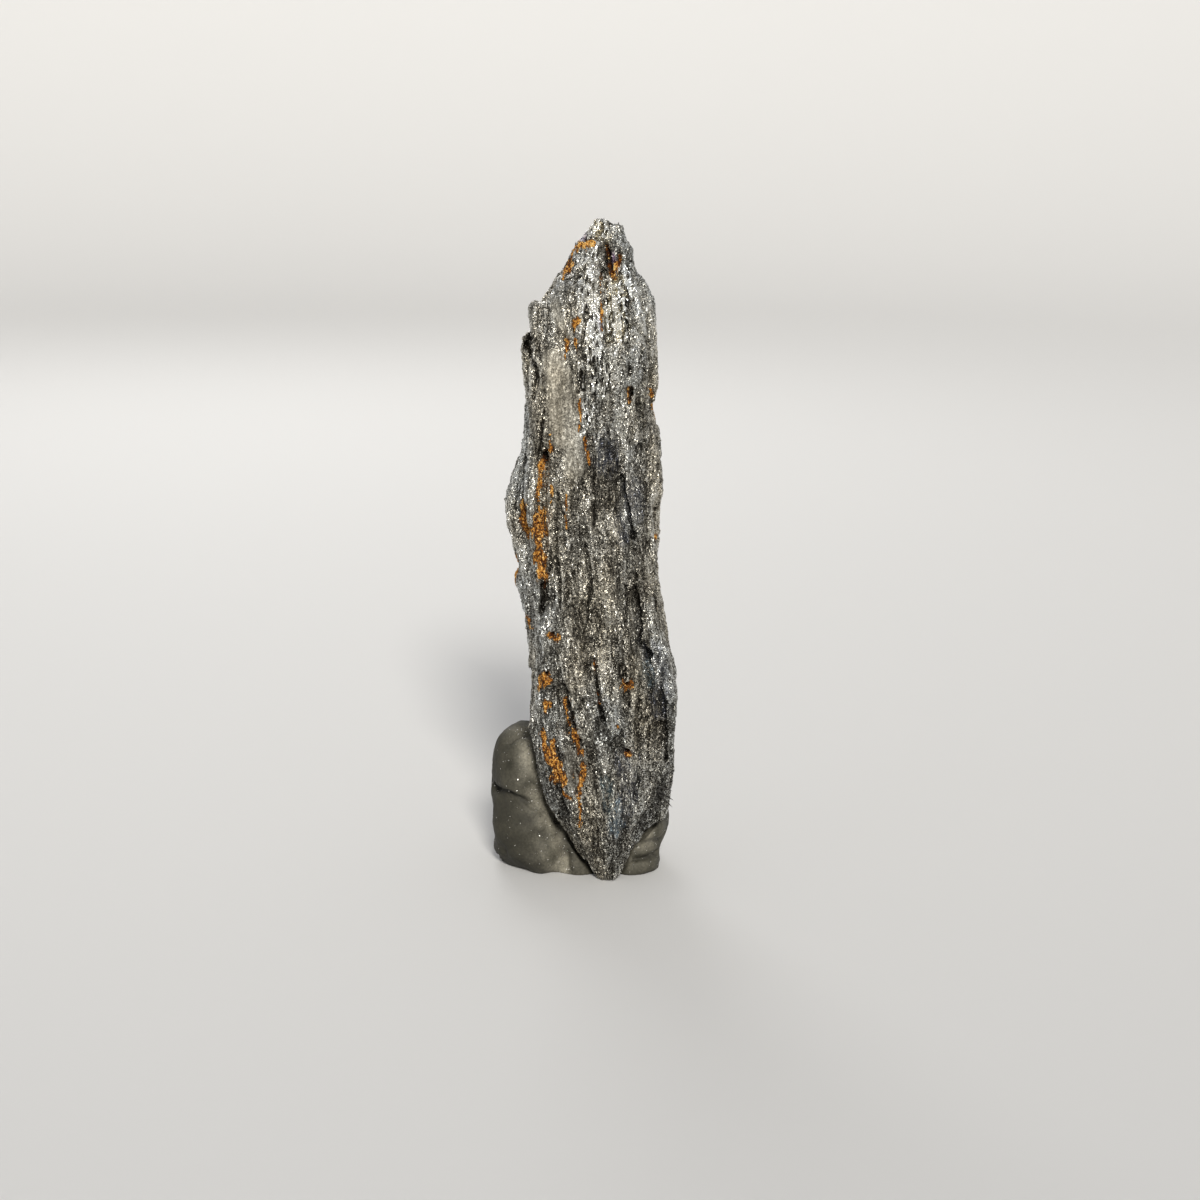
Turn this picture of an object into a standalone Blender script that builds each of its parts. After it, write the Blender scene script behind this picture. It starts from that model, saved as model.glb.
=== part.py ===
"""An upright splinter of foliated hematite, standing with its point in a pressed lump of display putty.

Metres, +Z up. X runs across the broad face, Y runs from the front face to the back,
and the origin is at the centre of the footprint, on the surface that the putty stands on.
"""

import math
import random

import bmesh
import bpy
import numpy as np
from mathutils import Vector, noise

MM = 0.001

# Driving dimensions, in millimetres.
STONE_HEIGHT = 100.0
# The stone's lower part, up to this height, is what the putty is pressed around.
POCKET_HEIGHT = 31.0
# The pocket is swollen by this much, which leaves about half of it between stone and putty once it is meshed.
POCKET_SWELL = 0.6

# How finely the solids are made.
RING_STEP = 1.2
RING_POINTS = 28
STONE_VOXEL = 0.5
STONE_TRIANGLES = 7000
PUTTY_VOXEL = 0.7
PUTTY_TRIANGLES = 1500
POCKET_TRIANGLES = 700

# Plain finishes of the solids: colour, roughness and how metallic. Edges sharper than the angle stay crisp.
STONE_FINISH = ((0.20, 0.19, 0.17), 0.42, 0.75)
PUTTY_FINISH = ((0.085, 0.078, 0.055), 0.72, 0.0)
CRISP_ANGLE = 35

# The core's section is a superellipse of this squareness: 2 is an ellipse, and more is squarer.
CORE_SQUARENESS = 2.7
FOLIUM_SQUARENESS = 3.4

# Splinters that run up the flanks and the back, where they break off in small ledges.
SPLINTER_SEED = 11
SPLINTERS = 84
SPLINTER_ZONE = (4.0, 95.0)
SPLINTER_LENGTH = (9.0, 34.0)
SPLINTER_WIDTH = (1.3, 3.4)
SPLINTER_LIFT = (0.35, 1.25)
SPLINTER_ROOT = 1.6
SPLINTER_RINGS = 8
# A splinter is narrowest at its foot and its head, by this share of its width, and swells over this half turn.
SPLINTER_ENDS = 0.35
SPLINTER_SWELL = (0.12, 0.92)
# Its lift is full once this share of its length is passed, and its far corners are lower and narrower.
SPLINTER_RAMP = 0.55
SPLINTER_SHAPE = ((0.9, 0.7), (0.35, 1.0))
SPLINTER_TURNS = (-0.35, math.pi + 0.35)
# Splinters at the side edges of the broad face rise by this share of the others' lift.
EDGE_COSINE = 0.9
EDGE_LIFT = 0.45
# A short turn round the section, in radians, that gives the direction along its skin.
SKIN_TURN = 0.05

# Layers of the stone's relief: (frequency across the grain, frequency up it, seed), per millimetre.
SWELLS = (0.20, 0.045, 7)
RIBS = (0.50, 0.05, 31)
TERRACES = (0.24, 0.06, 77)
CHIPS = (0.5, 0.25, 53)
SWELL_HEIGHT = 0.7
RIB_HEIGHT = 0.5
TERRACE_HEIGHT = 0.34
TERRACE_COUNT = 4
TERRACE_STEEPNESS = 5
CHIP_HEIGHT = 0.35
# The relief fades out over these lengths at the peak and the point, and on faces that look sideways.
PEAK_FADE = 6.0
POINT_FADE = 8.0
SIDEWAYS_SHARE = 0.3

# Hand marks in the putty: frequency per millimetre, place in the noise, and height in millimetres.
DENT_FREQUENCY = 0.16
DENT_PLACE = (3, 5, 9)
DENT_HEIGHT = 1.1
PUTTY_SMOOTHING = 6

# Edges of the broad face, as (height, place across), from the point up to the shoulder and the peak.
LEFT_EDGE = (
    (0, 0.6), (3, -1.6), (6.2, -3.7), (11.3, -6.8), (15.7, -8.3), (20.5, -9.2), (23, -9.9),
    (30, -9.9), (34.5, -10.1), (37.2, -10.1), (39.1, -10.9), (44, -11.5), (52, -11.6), (60, -11.9),
    (66, -11.3), (74, -10.6), (83.8, -9.6), (88, -9.0), (90, -7.9), (92.2, -7.1),
    (94.8, -5.3), (96, -4.8), (97.6, -3.7), (99, -2.9), (100.3, -2.0),
)
RIGHT_EDGE = (
    (0, 3.8), (1.2, 4.6), (3.1, 5.5), (5, 6.2), (6.5, 7.4), (8.3, 9.0), (9.8, 11.0), (13, 11.9),
    (16.4, 11.8), (20.6, 11.6), (25.4, 11.2), (29.3, 11.4), (31, 12.0), (33.5, 11.8), (37.1, 10.7),
    (41.3, 9.5), (43.7, 8.9), (47.8, 8.3), (53, 8.4), (58.3, 8.2), (60.5, 8.8), (69.3, 8.3),
    (71.2, 7.3), (74.1, 7.0), (74.8, 7.6), (79.3, 7.1), (83.2, 6.7), (87.9, 6.5), (90.8, 5.4),
    (92.1, 4.6), (94.3, 4.2), (96.1, 3.2), (98.2, 1.3), (99.2, 0.6), (100.3, -0.2),
)
FRONT_FACE = ((0, -1.6), (6, -3.0), (15, -4.3), (30, -4.6), (60, -3.6), (84, -2.0), (94, 0.2), (100, 2.2))
BACK_FACE = ((0, 2.2), (6, 4.0), (15, 6.0), (30, 7.6), (60, 8.8), (84, 8.4), (94, 6.8), (100, 4.4))

CORE_SIDES = (LEFT_EDGE, RIGHT_EDGE, FRONT_FACE, BACK_FACE)

# The folia that stand proud of the core: name, left edge, right edge, front depth and back depth, by height.
FOLIA = (
    ("front_sheet",
     ((2, 0.8), (8, -3.4), (16, -7.4), (26, -9.2), (40, -9.0), (50, -10.4), (60, -11.3), (70, -10.2),
      (80, -10.6), (86, -10.4)),
     ((2, 3.4), (10, 6.2), (20, 6.9), (34, 7.0), (39, 5.6), (46, 4.4), (56, 3.0), (64, 2.7), (74, 3.2),
      (80, 3.6), (86, 3.9)),
     ((2, -2.5), (12, -5.4), (30, -5.9), (60, -5.0), (76, -4.0), (86, -2.6)),
     ((2, 0), (86, 1))),
    ("shoulder",
     ((66, -10.8), (74, -10.8), (88, -10.9)),
     ((66, -6.0), (88, -8.0)),
     ((66, -3.6), (80, -3.0), (88, -1.8)),
     ((66, 2), (88, 3))),
    ("upper_left_plane",
     ((70, -9.4), (84, -9.2), (88, -8.8), (90, -7.8), (92.2, -7.0)),
     ((70, -3.2), (88, -3.6), (92.2, -4.4)),
     ((70, -3.9), (80, -3.4), (88, -2.3), (92.2, -0.9)),
     ((70, 2), (92.2, 3))),
    ("crest",
     ((74, -2.4), (84, -5.2), (90, -6.2), (94, -4.2), (97.2, -2.6)),
     ((74, 0.6), (84, 0.4), (90, 0.2), (94, 0.1), (97.2, 0.4)),
     ((74, -4.2), (80, -4.9), (90, -3.2), (94, -1.6), (97.2, 0.2)),
     ((74, 2), (97.2, 3.4))),
    ("upper_right_rib",
     ((68, 3.0), (80, 0.9), (90, 0.5), (96, 1.0)),
     ((68, 7.2), (80, 6.3), (90, 5.0), (96, 2.6)),
     ((68, -3.4), (80, -3.6), (90, -1.6), (96, 0.6)),
     ((68, 3), (96, 3.6))),
    ("second_peak",
     ((92, 0.4), (96, 0.9), (98, 1.0), (99.7, 1.1)),
     ((92, 4.2), (96, 3.6), (98, 2.7), (99.7, 1.9)),
     ((92, 0.6), (98, 1.8), (99.7, 2.2)),
     ((92, 5), (98, 4.2), (99.7, 3.8))),
    ("right_ridge",
     ((10, 6.4), (20, 7.6), (32, 7.6), (40, 6.8), (46, 6.2)),
     ((10, 9.2), (16.4, 11.5), (20.6, 11.7), (31, 11.9), (37, 10.6), (42, 9.2), (46, 8.2)),
     ((10, -1.6), (20, -4.6), (32, -4.9), (42, -3.6), (46, -2.4)),
     ((10, 3), (46, 3))),
    ("left_sliver",
     ((64, -12.6), (68, -11.8), (74, -11.7), (80.6, -12.6), (82.6, -12.2), (83.8, -11.4)),
     ((64, -9), (74, -9), (83.8, -10.2)),
     ((64, 0.8), (74, 1.2), (83.8, 2)),
     ((64, 6), (74, 5.6), (83.8, 4.4))),
    ("left_bulge",
     ((38, -9.6), (42, -11.2), (46.4, -12.8), (48.4, -12.2), (53, -13.3), (58, -14.2), (61, -13.8),
      (63.4, -12.9), (66.4, -12.1)),
     ((38, -8), (66.4, -9)),
     ((38, 2.2), (46, 0.2), (58, 0.4), (66.4, 1.8)),
     ((38, 5), (52, 7), (66.4, 5.8))),
    ("back_sheet",
     ((8, -2.8), (20, -7.6), (40, -7.4), (56, -9.6), (72, -8.4), (81, -7.8)),
     ((8, 4.4), (20, 7.8), (40, 6.0), (60, 6.4), (74, 4.6), (81, 2.6)),
     ((8, 2), (81, 3)),
     ((8, 5.2), (24, 8.8), (44, 10.2), (64, 10.6), (81, 9.6))),
    ("back_rib",
     ((26, -1.0), (44, -2.6), (66, -1.4), (92, -2.2)),
     ((26, 3.6), (44, 3.2), (66, 4.0), (92, 1.4)),
     ((26, 4), (92, 4)),
     ((26, 9.4), (44, 11.6), (66, 11.9), (84, 10.4), (92, 7.8))),
    ("back_left_step",
     ((30, -9.6), (44, -9.2), (58, -12.4), (70, -10.6)),
     ((30, -4), (70, -4)),
     ((30, 3), (70, 3)),
     ((30, 7.4), (46, 9.0), (70, 9.2))),
)

# Furrows and cracks of the front and back: (side, half width, depth, points as (across, height)).
FURROWS = (
    ("front", 0.7, 1.2, ((2.4, 62.7), (3.4, 58.6), (4.3, 54.5))),
    ("front", 0.7, 1.1, ((4.3, 54.5), (3.9, 49), (4.0, 44.7))),
    ("front", 0.45, 0.8, ((4.6, 46.8), (5.5, 43.3), (5.8, 41.1), (5.6, 38.9), (6.3, 37.7), (7.7, 37.1))),
    ("front", 0.5, 2.0, ((-11.1, 83.4), (-11.6, 81.5), (-10.3, 78.8), (-10.2, 76.8), (-10.6, 74.7))),
    ("front", 0.5, 1.9, ((-0.4, 96.1), (-0.1, 94.1), (0.2, 92.3))),
    ("front", 0.8, 1.5, ((-8.9, 66.5), (-9.3, 61.7), (-9.5, 57), (-9.2, 52), (-8.3, 45), (-8.7, 42.5))),
    ("front", 0.5, 0.5, ((-5.1, 31), (-4.5, 28), (-3.6, 24.7))),
    ("front", 0.6, 1.2, ((9.4, 30.5), (9.6, 25.8), (9.8, 21.5))),
    ("front", 0.6, 0.7, ((-5.9, 16.3), (-5.3, 14.2), (-4.5, 11.8))),
    ("front", 0.7, 1.1, ((4.4, 75), (5.1, 72.8), (6.1, 71))),
    ("back", 1.0, 2.2, ((5.2, 78), (4.4, 60), (5.0, 44), (3.8, 26))),
    ("back", 0.9, 2.0, ((-3.8, 84), (-4.6, 66), (-3.6, 48), (-4.8, 30), (-2.6, 14))),
    ("back", 0.8, 1.4, ((-8.6, 60), (-8.2, 48), (-7.4, 36))),
)

# Furrows and pits are full on faces turned this much to their side, and a pit's rim is this soft.
FULL_FACING = 0.62
PIT_RIM = 1.3
# Open pits: (side, across, height, half width, half length, depth).
PITS = (
    ("front", 3.4, 75.5, 0.45, 1.2, 1.1),
    ("front", 6.9, 73.2, 0.7, 1.0, 1.3),
    ("front", -8.9, 66.2, 0.6, 1.2, 1.2),
    ("front", -8.6, 44.8, 0.7, 2.0, 0.8),
    ("back", 1.8, 70.0, 0.7, 1.4, 1.2),
    ("back", -6.4, 54.0, 0.8, 1.2, 1.2),
    ("back", 6.0, 35.0, 0.7, 1.2, 1.1),
)

# Lobes of the putty: centre and radii.
PUTTY_LOBES = (
    ((-11.4, 7.2, 13.8), (5.1, 6.6, 8.9)),
    ((-10.7, 6.6, 7.4), (5.2, 7.0, 7.4)),
    ((-9.8, 7.4, 3.4), (6.0, 7.2, 5.0)),
    ((-7.8, 5.8, 3.4), (4.0, 6.6, 5.4)),
    ((-6.8, 9.6, 10.4), (7.6, 5.6, 12.0)),
    ((-2.6, 4.8, 1.6), (4.4, 4.6, 5.0)),
    ((-1.0, 11.4, 5.6), (11.0, 7.0, 11.6)),
    ((4.4, 10.6, 2.6), (5.6, 6.4, 7.8)),
    ((7.8, 7.0, 7.2), (4.1, 6.2, 5.0)),
    ((5.6, 5.8, 1.6), (4.6, 5.6, 4.0)),
)

# Creases pressed into the putty: half width, depth, points in space.
PUTTY_CREASES = (
    (0.9, 0.7, ((-16, 5, 12.6), (-12, -0.5, 12.2), (-8, -1.0, 13.5))),
    (0.8, 0.8, ((-14.5, 3, 20.5), (-10, 1.5, 22.8), (-7, 2, 24))),
    (0.9, 1.2, ((-5.6, -1.4, 11), (-5.0, -0.8, 5), (-5.4, -1.0, 0))),
    (0.9, 1.1, ((4.0, 0, 4.6), (8.5, 0.5, 4.9), (11.5, 5, 5.2))),
    (0.6, 0.9, ((-14.8, 3.0, 0), (-14.0, 2.0, 3.4))),
)


def clear_scene():
    for old in list(bpy.data.objects):
        bpy.data.objects.remove(old, do_unlink=True)


def along(profile, height):
    """A profile's value at a height, between its points in straight runs."""
    heights, values = zip(*profile)
    return float(np.interp(height, heights, values))


def rounded(turn, squareness):
    """Cosine and sine of a superellipse: 2 is an ellipse, and more is squarer."""
    power = 2.0 / squareness
    cosine, sine = math.cos(turn), math.sin(turn)
    return (
        math.copysign(abs(cosine) ** power, cosine),
        math.copysign(abs(sine) ** power, sine),
    )


def skin_rings(mesh, rings):
    """Joins rings of points, lowest first, into one closed skin."""
    made = [[mesh.verts.new(place) for place in ring] for ring in rings]
    for lower, upper in zip(made, made[1:]):
        for point in range(len(lower)):
            after = (point + 1) % len(lower)
            mesh.faces.new((lower[point], lower[after], upper[after], upper[point]))
    mesh.faces.new(reversed(made[0]))
    mesh.faces.new(made[-1])


def section_point(sides, height, turn, squareness):
    """A point of the section that four profiles give at a height: left, right, front and back."""
    x0, x1, y0, y1 = (along(side, height) for side in sides)
    cosine, sine = rounded(turn, squareness)
    return Vector(((x0 + x1) / 2 + (x1 - x0) / 2 * cosine, (y0 + y1) / 2 + (y1 - y0) / 2 * sine, height))


def add_loft(mesh, sides, squareness):
    """Adds one closed loft, whose sections run from left to right and from front to back."""
    low, high = sides[0][0][0], sides[0][-1][0]
    steps = max(3, round((high - low) / RING_STEP))
    turns = [2 * math.pi * point / RING_POINTS for point in range(RING_POINTS)]
    rings = []
    for step in range(steps + 1):
        height = low + (high - low) * step / steps
        rings.append([section_point(sides, height, turn, squareness) for turn in turns])
    skin_rings(mesh, rings)


def add_splinter(mesh, turn, low, high, width, lift):
    """Adds a sliver that rises out of the core from its foot and breaks off in a ledge at its head."""
    rings = []
    for step in range(SPLINTER_RINGS + 1):
        share = step / SPLINTER_RINGS
        height = low + (high - low) * share
        middle = section_point(CORE_SIDES, height, turn, CORE_SQUARENESS)
        tangent = section_point(CORE_SIDES, height, turn + SKIN_TURN, CORE_SQUARENESS) - middle
        tangent.normalize()
        outward = Vector((tangent.y, -tangent.x, 0))
        belly = math.sin(math.pi * float(np.interp(share, (0, 1), SPLINTER_SWELL)))
        half = width / 2 * (SPLINTER_ENDS + (1 - SPLINTER_ENDS) * belly)
        rise = lift * min(1.0, share / SPLINTER_RAMP)
        (right, right_rise), (left, left_rise) = SPLINTER_SHAPE
        corners = (
            (-half, -SPLINTER_ROOT), (half, -SPLINTER_ROOT),
            (half * right, rise * right_rise), (-half * left, rise * left_rise),
        )
        rings.append([middle + tangent * across + outward * out for across, out in corners])
    skin_rings(mesh, rings)


def add_splinters(mesh):
    chance = random.Random(SPLINTER_SEED)
    for _ in range(SPLINTERS):
        turn = chance.uniform(*SPLINTER_TURNS)
        length = chance.uniform(*SPLINTER_LENGTH)
        low = chance.uniform(SPLINTER_ZONE[0], SPLINTER_ZONE[1] - length)
        width = chance.uniform(*SPLINTER_WIDTH)
        at_edge = abs(math.cos(turn)) > EDGE_COSINE
        lift = chance.uniform(*SPLINTER_LIFT) * (EDGE_LIFT if at_edge else 1.0)
        add_splinter(mesh, turn, low, low + length, width, lift)


def object_from(mesh, name):
    """Makes a bmesh into a linked object, and frees it."""
    data = bpy.data.meshes.new(name)
    mesh.to_mesh(data)
    mesh.free()
    made = bpy.data.objects.new(name, data)
    bpy.context.scene.collection.objects.link(made)
    return made


def fuse(made, voxel):
    """Fuses overlapping closed shapes into one skin, and keeps its largest body."""
    remesh = made.modifiers.new("fuse", "REMESH")
    remesh.mode = "VOXEL"
    remesh.voxel_size = voxel
    bake_modifiers(made)
    keep_largest(made)


def bake_modifiers(made):
    graph = bpy.context.evaluated_depsgraph_get()
    data = bpy.data.meshes.new_from_object(made.evaluated_get(graph))
    made.modifiers.clear()
    made.data = data


def keep_largest(made):
    """Deletes every body but the one with the most vertices."""
    mesh = bmesh.new()
    mesh.from_mesh(made.data)
    left = set(mesh.verts)
    bodies = []
    while left:
        front = [left.pop()]
        body = set(front)
        while front:
            near = {edge.other_vert(v) for v in front for edge in v.link_edges} - body
            body |= near
            front = list(near)
        left -= body
        bodies.append(body)
    largest = max(bodies, key=len)
    bmesh.ops.delete(mesh, geom=[v for v in mesh.verts if v not in largest], context="VERTS")
    mesh.to_mesh(made.data)
    mesh.free()


def thin_out(made, triangles):
    """Collapses edges until about this many triangles are left."""
    made.data.calc_loop_triangles()
    decimate = made.modifiers.new("thin", "DECIMATE")
    decimate.ratio = triangles / len(made.data.loop_triangles)
    decimate.use_collapse_triangulate = True
    bake_modifiers(made)


def distance_to_path(point, path):
    """Distance from a point to a run of straight lines."""
    best = math.inf
    for start, end in zip(path, path[1:]):
        line = end - start
        share = max(0.0, min(1.0, (point - start).dot(line) / line.length_squared))
        best = min(best, (point - start - line * share).length)
    return best


def bell(distance, half_width):
    return math.exp(-((distance / half_width) ** 2))


def furrow_depth(place, normal):
    """How far the furrows and pits sink a point of the stone, by which side it faces."""
    side = "front" if normal.y < 0 else "back"
    facing = min(1.0, abs(normal.y) / FULL_FACING)
    flat = Vector((place.x, place.z))
    sunk = 0.0
    for on, half_width, depth, points in FURROWS:
        if on == side:
            path = [Vector(p) for p in points]
            sunk = max(sunk, depth * bell(distance_to_path(flat, path), half_width))
    for on, across, height, half_width, half_length, depth in PITS:
        if on == side:
            reach = math.hypot((flat.x - across) / half_width, (flat.y - height) / half_length)
            sunk = max(sunk, depth * bell(reach, PIT_RIM))
    return sunk * facing


def layer_noise(place, layer):
    """Noise that is short across the stone and long up it."""
    across, up, seed = layer
    return noise.noise(Vector((place.x * across, place.y * across, place.z * up + seed)))


def grain(place):
    """Relief of the foliation: broad swells, sharp ribs, terraces that end in ledges, and chips."""
    rib = 0.5 - abs(layer_noise(place, RIBS)) * 2
    level = layer_noise(place, TERRACES) * TERRACE_COUNT
    terrace = math.floor(level) + min(1.0, (level - math.floor(level)) * TERRACE_STEEPNESS)
    return (
        SWELL_HEIGHT * layer_noise(place, SWELLS) + RIB_HEIGHT * rib
        + TERRACE_HEIGHT * terrace + CHIP_HEIGHT * layer_noise(place, CHIPS)
    )


def carve_stone(stone):
    """Moves the skin of the fused stone by its grain, and sinks its furrows and pits."""
    normals = [v.normal.copy() for v in stone.data.vertices]
    for vertex, normal in zip(stone.data.vertices, normals):
        place = vertex.co.copy()
        fade = min(1.0, (STONE_HEIGHT - place.z) / PEAK_FADE, (place.z + 1) / POINT_FADE)
        facing = SIDEWAYS_SHARE + (1 - SIDEWAYS_SHARE) * abs(normal.y)
        move = grain(place) * fade * facing - furrow_depth(place, normal)
        vertex.co = place + normal * move


def make_stone():
    mesh = bmesh.new()
    add_loft(mesh, CORE_SIDES, CORE_SQUARENESS)
    for _, *sides in FOLIA:
        add_loft(mesh, sides, FOLIUM_SQUARENESS)
    add_splinters(mesh)
    stone = object_from(mesh, "hematite_splinter")
    fuse(stone, STONE_VOXEL)
    carve_stone(stone)
    thin_out(stone, STONE_TRIANGLES)
    cut_below(stone, 0.0)
    return stone


def cut_below(made, height):
    """Cuts the object off flat at a height, and closes the cut."""
    mesh = bmesh.new()
    mesh.from_mesh(made.data)
    geometry = mesh.verts[:] + mesh.edges[:] + mesh.faces[:]
    bmesh.ops.bisect_plane(
        mesh, geom=geometry, dist=1e-4, plane_co=(0, 0, height), plane_no=(0, 0, 1), clear_inner=True
    )
    bmesh.ops.holes_fill(mesh, edges=[e for e in mesh.edges if e.is_boundary])
    bmesh.ops.triangulate(mesh, faces=mesh.faces[:])
    mesh.to_mesh(made.data)
    mesh.free()


def stone_cutter(stone):
    """The lower stone, swollen by the gap that the putty keeps to it."""
    mesh = bmesh.new()
    mesh.from_mesh(stone.data)
    mesh.normal_update()
    geometry = mesh.verts[:] + mesh.edges[:] + mesh.faces[:]
    bmesh.ops.bisect_plane(
        mesh, geom=geometry, plane_co=(0, 0, POCKET_HEIGHT), plane_no=(0, 0, 1), clear_outer=True
    )
    bmesh.ops.holes_fill(mesh, edges=[e for e in mesh.edges if e.is_boundary])
    for vertex in mesh.verts:
        vertex.co += vertex.normal * POCKET_SWELL
    cutter = object_from(mesh, "stone_pocket")
    fuse(cutter, PUTTY_VOXEL)
    thin_out(cutter, POCKET_TRIANGLES)
    cutter.hide_render = True
    cutter.display_type = "WIRE"
    return cutter


def press_putty(putty):
    """Dents the putty by hand marks, and presses its creases in."""
    creases = [(half, depth, [Vector(p) for p in points]) for half, depth, points in PUTTY_CREASES]
    normals = [v.normal.copy() for v in putty.data.vertices]
    for vertex, normal in zip(putty.data.vertices, normals):
        place = vertex.co.copy()
        dents = noise.noise(place * DENT_FREQUENCY + Vector(DENT_PLACE)) * DENT_HEIGHT
        sunk = max(depth * bell(distance_to_path(place, path), half) for half, depth, path in creases)
        vertex.co = place + normal * (dents - sunk)


def make_putty(stone):
    mesh = bmesh.new()
    for centre, radii in PUTTY_LOBES:
        ball = bmesh.ops.create_uvsphere(mesh, u_segments=32, v_segments=20, radius=1.0)
        bmesh.ops.scale(mesh, vec=radii, verts=ball["verts"])
        bmesh.ops.translate(mesh, vec=centre, verts=ball["verts"])
    putty = object_from(mesh, "putty_lump")
    fuse(putty, PUTTY_VOXEL)
    smooth = putty.modifiers.new("smooth", "SMOOTH")
    smooth.iterations = PUTTY_SMOOTHING
    bake_modifiers(putty)
    press_putty(putty)
    thin_out(putty, PUTTY_TRIANGLES)
    cut_below(putty, 0.0)
    cut = putty.modifiers.new("pocket", "BOOLEAN")
    cut.operation = "DIFFERENCE"
    cut.object = stone_cutter(stone)
    bake_modifiers(putty)
    keep_largest(putty)
    return putty


def finish_material(made, name, colour, roughness, metallic):
    material = bpy.data.materials.new(name)
    material.use_nodes = True
    shader = material.node_tree.nodes["Principled BSDF"]
    shader.inputs["Base Color"].default_value = (*colour, 1.0)
    shader.inputs["Roughness"].default_value = roughness
    shader.inputs["Metallic"].default_value = metallic
    made.data.materials.clear()
    made.data.materials.append(material)


def centre_and_scale(pieces, helpers):
    """Turns millimetres into metres, with the origin under the middle of the pieces' box."""
    corners = np.array([v.co for piece in pieces for v in piece.data.vertices])
    low, high = corners.min(axis=0), corners.max(axis=0)
    origin = Vector(((low[0] + high[0]) / 2, (low[1] + high[1]) / 2, low[2]))
    for made in pieces + helpers:
        for vertex in made.data.vertices:
            vertex.co = (vertex.co - origin) * MM
        made.data.update()


def main():
    clear_scene()
    stone = make_stone()
    putty = make_putty(stone)
    finish_material(stone, "hematite", *STONE_FINISH)
    finish_material(putty, "display_putty", *PUTTY_FINISH)
    cutter = bpy.data.objects["stone_pocket"]
    centre_and_scale([stone, putty], [cutter])
    helpers = bpy.data.collections.new("cutters")
    specimen = bpy.data.collections.new("hematite_specimen")
    for collection, members in ((helpers, [cutter]), (specimen, [stone, putty])):
        bpy.context.scene.collection.children.link(collection)
        for member in members:
            bpy.context.scene.collection.objects.unlink(member)
            collection.objects.link(member)
    for piece in (stone, putty):
        piece.data.shade_smooth()
        piece.data.set_sharp_from_angle(angle=math.radians(CRISP_ANGLE))


main()
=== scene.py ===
import math

import bmesh
import bpy
import numpy as np
from mathutils import Matrix, Vector, noise


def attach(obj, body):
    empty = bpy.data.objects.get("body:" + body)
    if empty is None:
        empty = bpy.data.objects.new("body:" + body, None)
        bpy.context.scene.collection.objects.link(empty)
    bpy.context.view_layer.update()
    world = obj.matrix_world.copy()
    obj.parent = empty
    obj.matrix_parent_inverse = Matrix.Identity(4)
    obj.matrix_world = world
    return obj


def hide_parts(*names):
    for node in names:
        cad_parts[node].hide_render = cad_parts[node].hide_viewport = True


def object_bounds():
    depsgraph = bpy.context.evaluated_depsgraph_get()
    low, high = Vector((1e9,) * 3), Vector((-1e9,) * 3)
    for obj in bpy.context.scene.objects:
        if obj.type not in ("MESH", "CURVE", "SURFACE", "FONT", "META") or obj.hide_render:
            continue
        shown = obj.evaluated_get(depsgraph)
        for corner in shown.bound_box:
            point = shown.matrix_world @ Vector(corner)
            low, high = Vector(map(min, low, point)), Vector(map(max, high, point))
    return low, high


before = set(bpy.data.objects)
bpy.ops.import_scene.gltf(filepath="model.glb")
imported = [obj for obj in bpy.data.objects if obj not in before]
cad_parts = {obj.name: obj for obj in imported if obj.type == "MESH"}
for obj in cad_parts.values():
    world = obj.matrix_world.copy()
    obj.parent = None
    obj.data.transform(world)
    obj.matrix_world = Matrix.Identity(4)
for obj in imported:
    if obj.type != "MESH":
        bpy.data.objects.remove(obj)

CAD_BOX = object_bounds()
MM = 0.001

# The camera, in millimetres and degrees, as the photograph was taken.
CAMERA_PLACE = (2.18, -295.51, 115.97)
CAMERA_PITCH = 13.93
CAMERA_ROLL = 1.4
CAMERA_LENS = 60.0
SENSOR = 36.0
CAMERA_NEAR = 0.01

# How finely the pieces are made, in millimetres, triangles and passes of smoothing.
STONE_VOXEL = 0.2
STONE_TRIANGLES = 185000
STONE_SMOOTHING = 6
PUTTY_VOXEL = 0.28
PUTTY_SMOOTHING = 4
# Corners closer than this are joined, and every piece stays this far inside the solids' box, in millimetres.
MERGE = 0.001
BOX_MARGIN = 0.01

# The middle and half width that the grain follows, as (height, millimetres).
GRAIN_MIDDLE = (
    (0, 4.2), (10, 3.8), (20, 3.4), (30, 2.9), (44, 0.9), (60, 0.0), (75, 0.4), (88, 0.1), (100, 0.8),
)
GRAIN_HALF = ((0, 2.6), (5, 4.6), (10, 7.6), (20, 10.4), (27, 11.0), (100, 11.0))
FULL_HALF = 11.0
# How far back the front face's marks reach, as (height, millimetres), and how softly they end there.
FRONT_DEPTH = ((0, -5.5), (60, -4.0), (80, -2.0), (92, -0.5), (100, 1.5))
FRONT_EDGE = (-1.2, 0.8)

# Patterns of noise on the stone, each as (scale across the grain, scale up it, seed).
BEND = (0.06, 0.05, 5)
STRANDS = (0.85, 0.08, 11)
FIBRES = (2.1, 0.5, 23)
PLATES = (0.62, 0.13, 41)
CHIPS = (1.9, 0.9, 63)
PITTING = (0.9, 0.3, 77)
CRUMBS = (2.4, 2.0, 9)
RAGGED = (1.6, 0.5, 17)
BROAD = (0.5, 0.12, 29)
BACK_RUST = (0.30, 0.07, 91)
# The tints of the back share one scale across the grain and up it, and have a seed each.
BACK_TINT = (0.2, 0.05)

# How far each pattern lifts, sinks or bends the stone's skin, in millimetres.
BEND_REACH = 0.7
STRAND_HEIGHT = 0.17
FIBRE_HEIGHT = 0.07
PLATE_HEIGHT = 0.26
CHIP_HEIGHT = 0.10
PITTING_DEPTH = 0.4
CRUMB_HEIGHT = 0.28
RUST_DEPTH = 0.16
# Where the noise of the pitting starts to sink the skin, and where it has sunk fully.
PITTING_RANGE = (0.42, 0.64)
# Shares of the relief that rust and smooth plates take away.
RUST_FLATTENS = 0.5
SMOOTH_FLATTENS = 0.75
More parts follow.
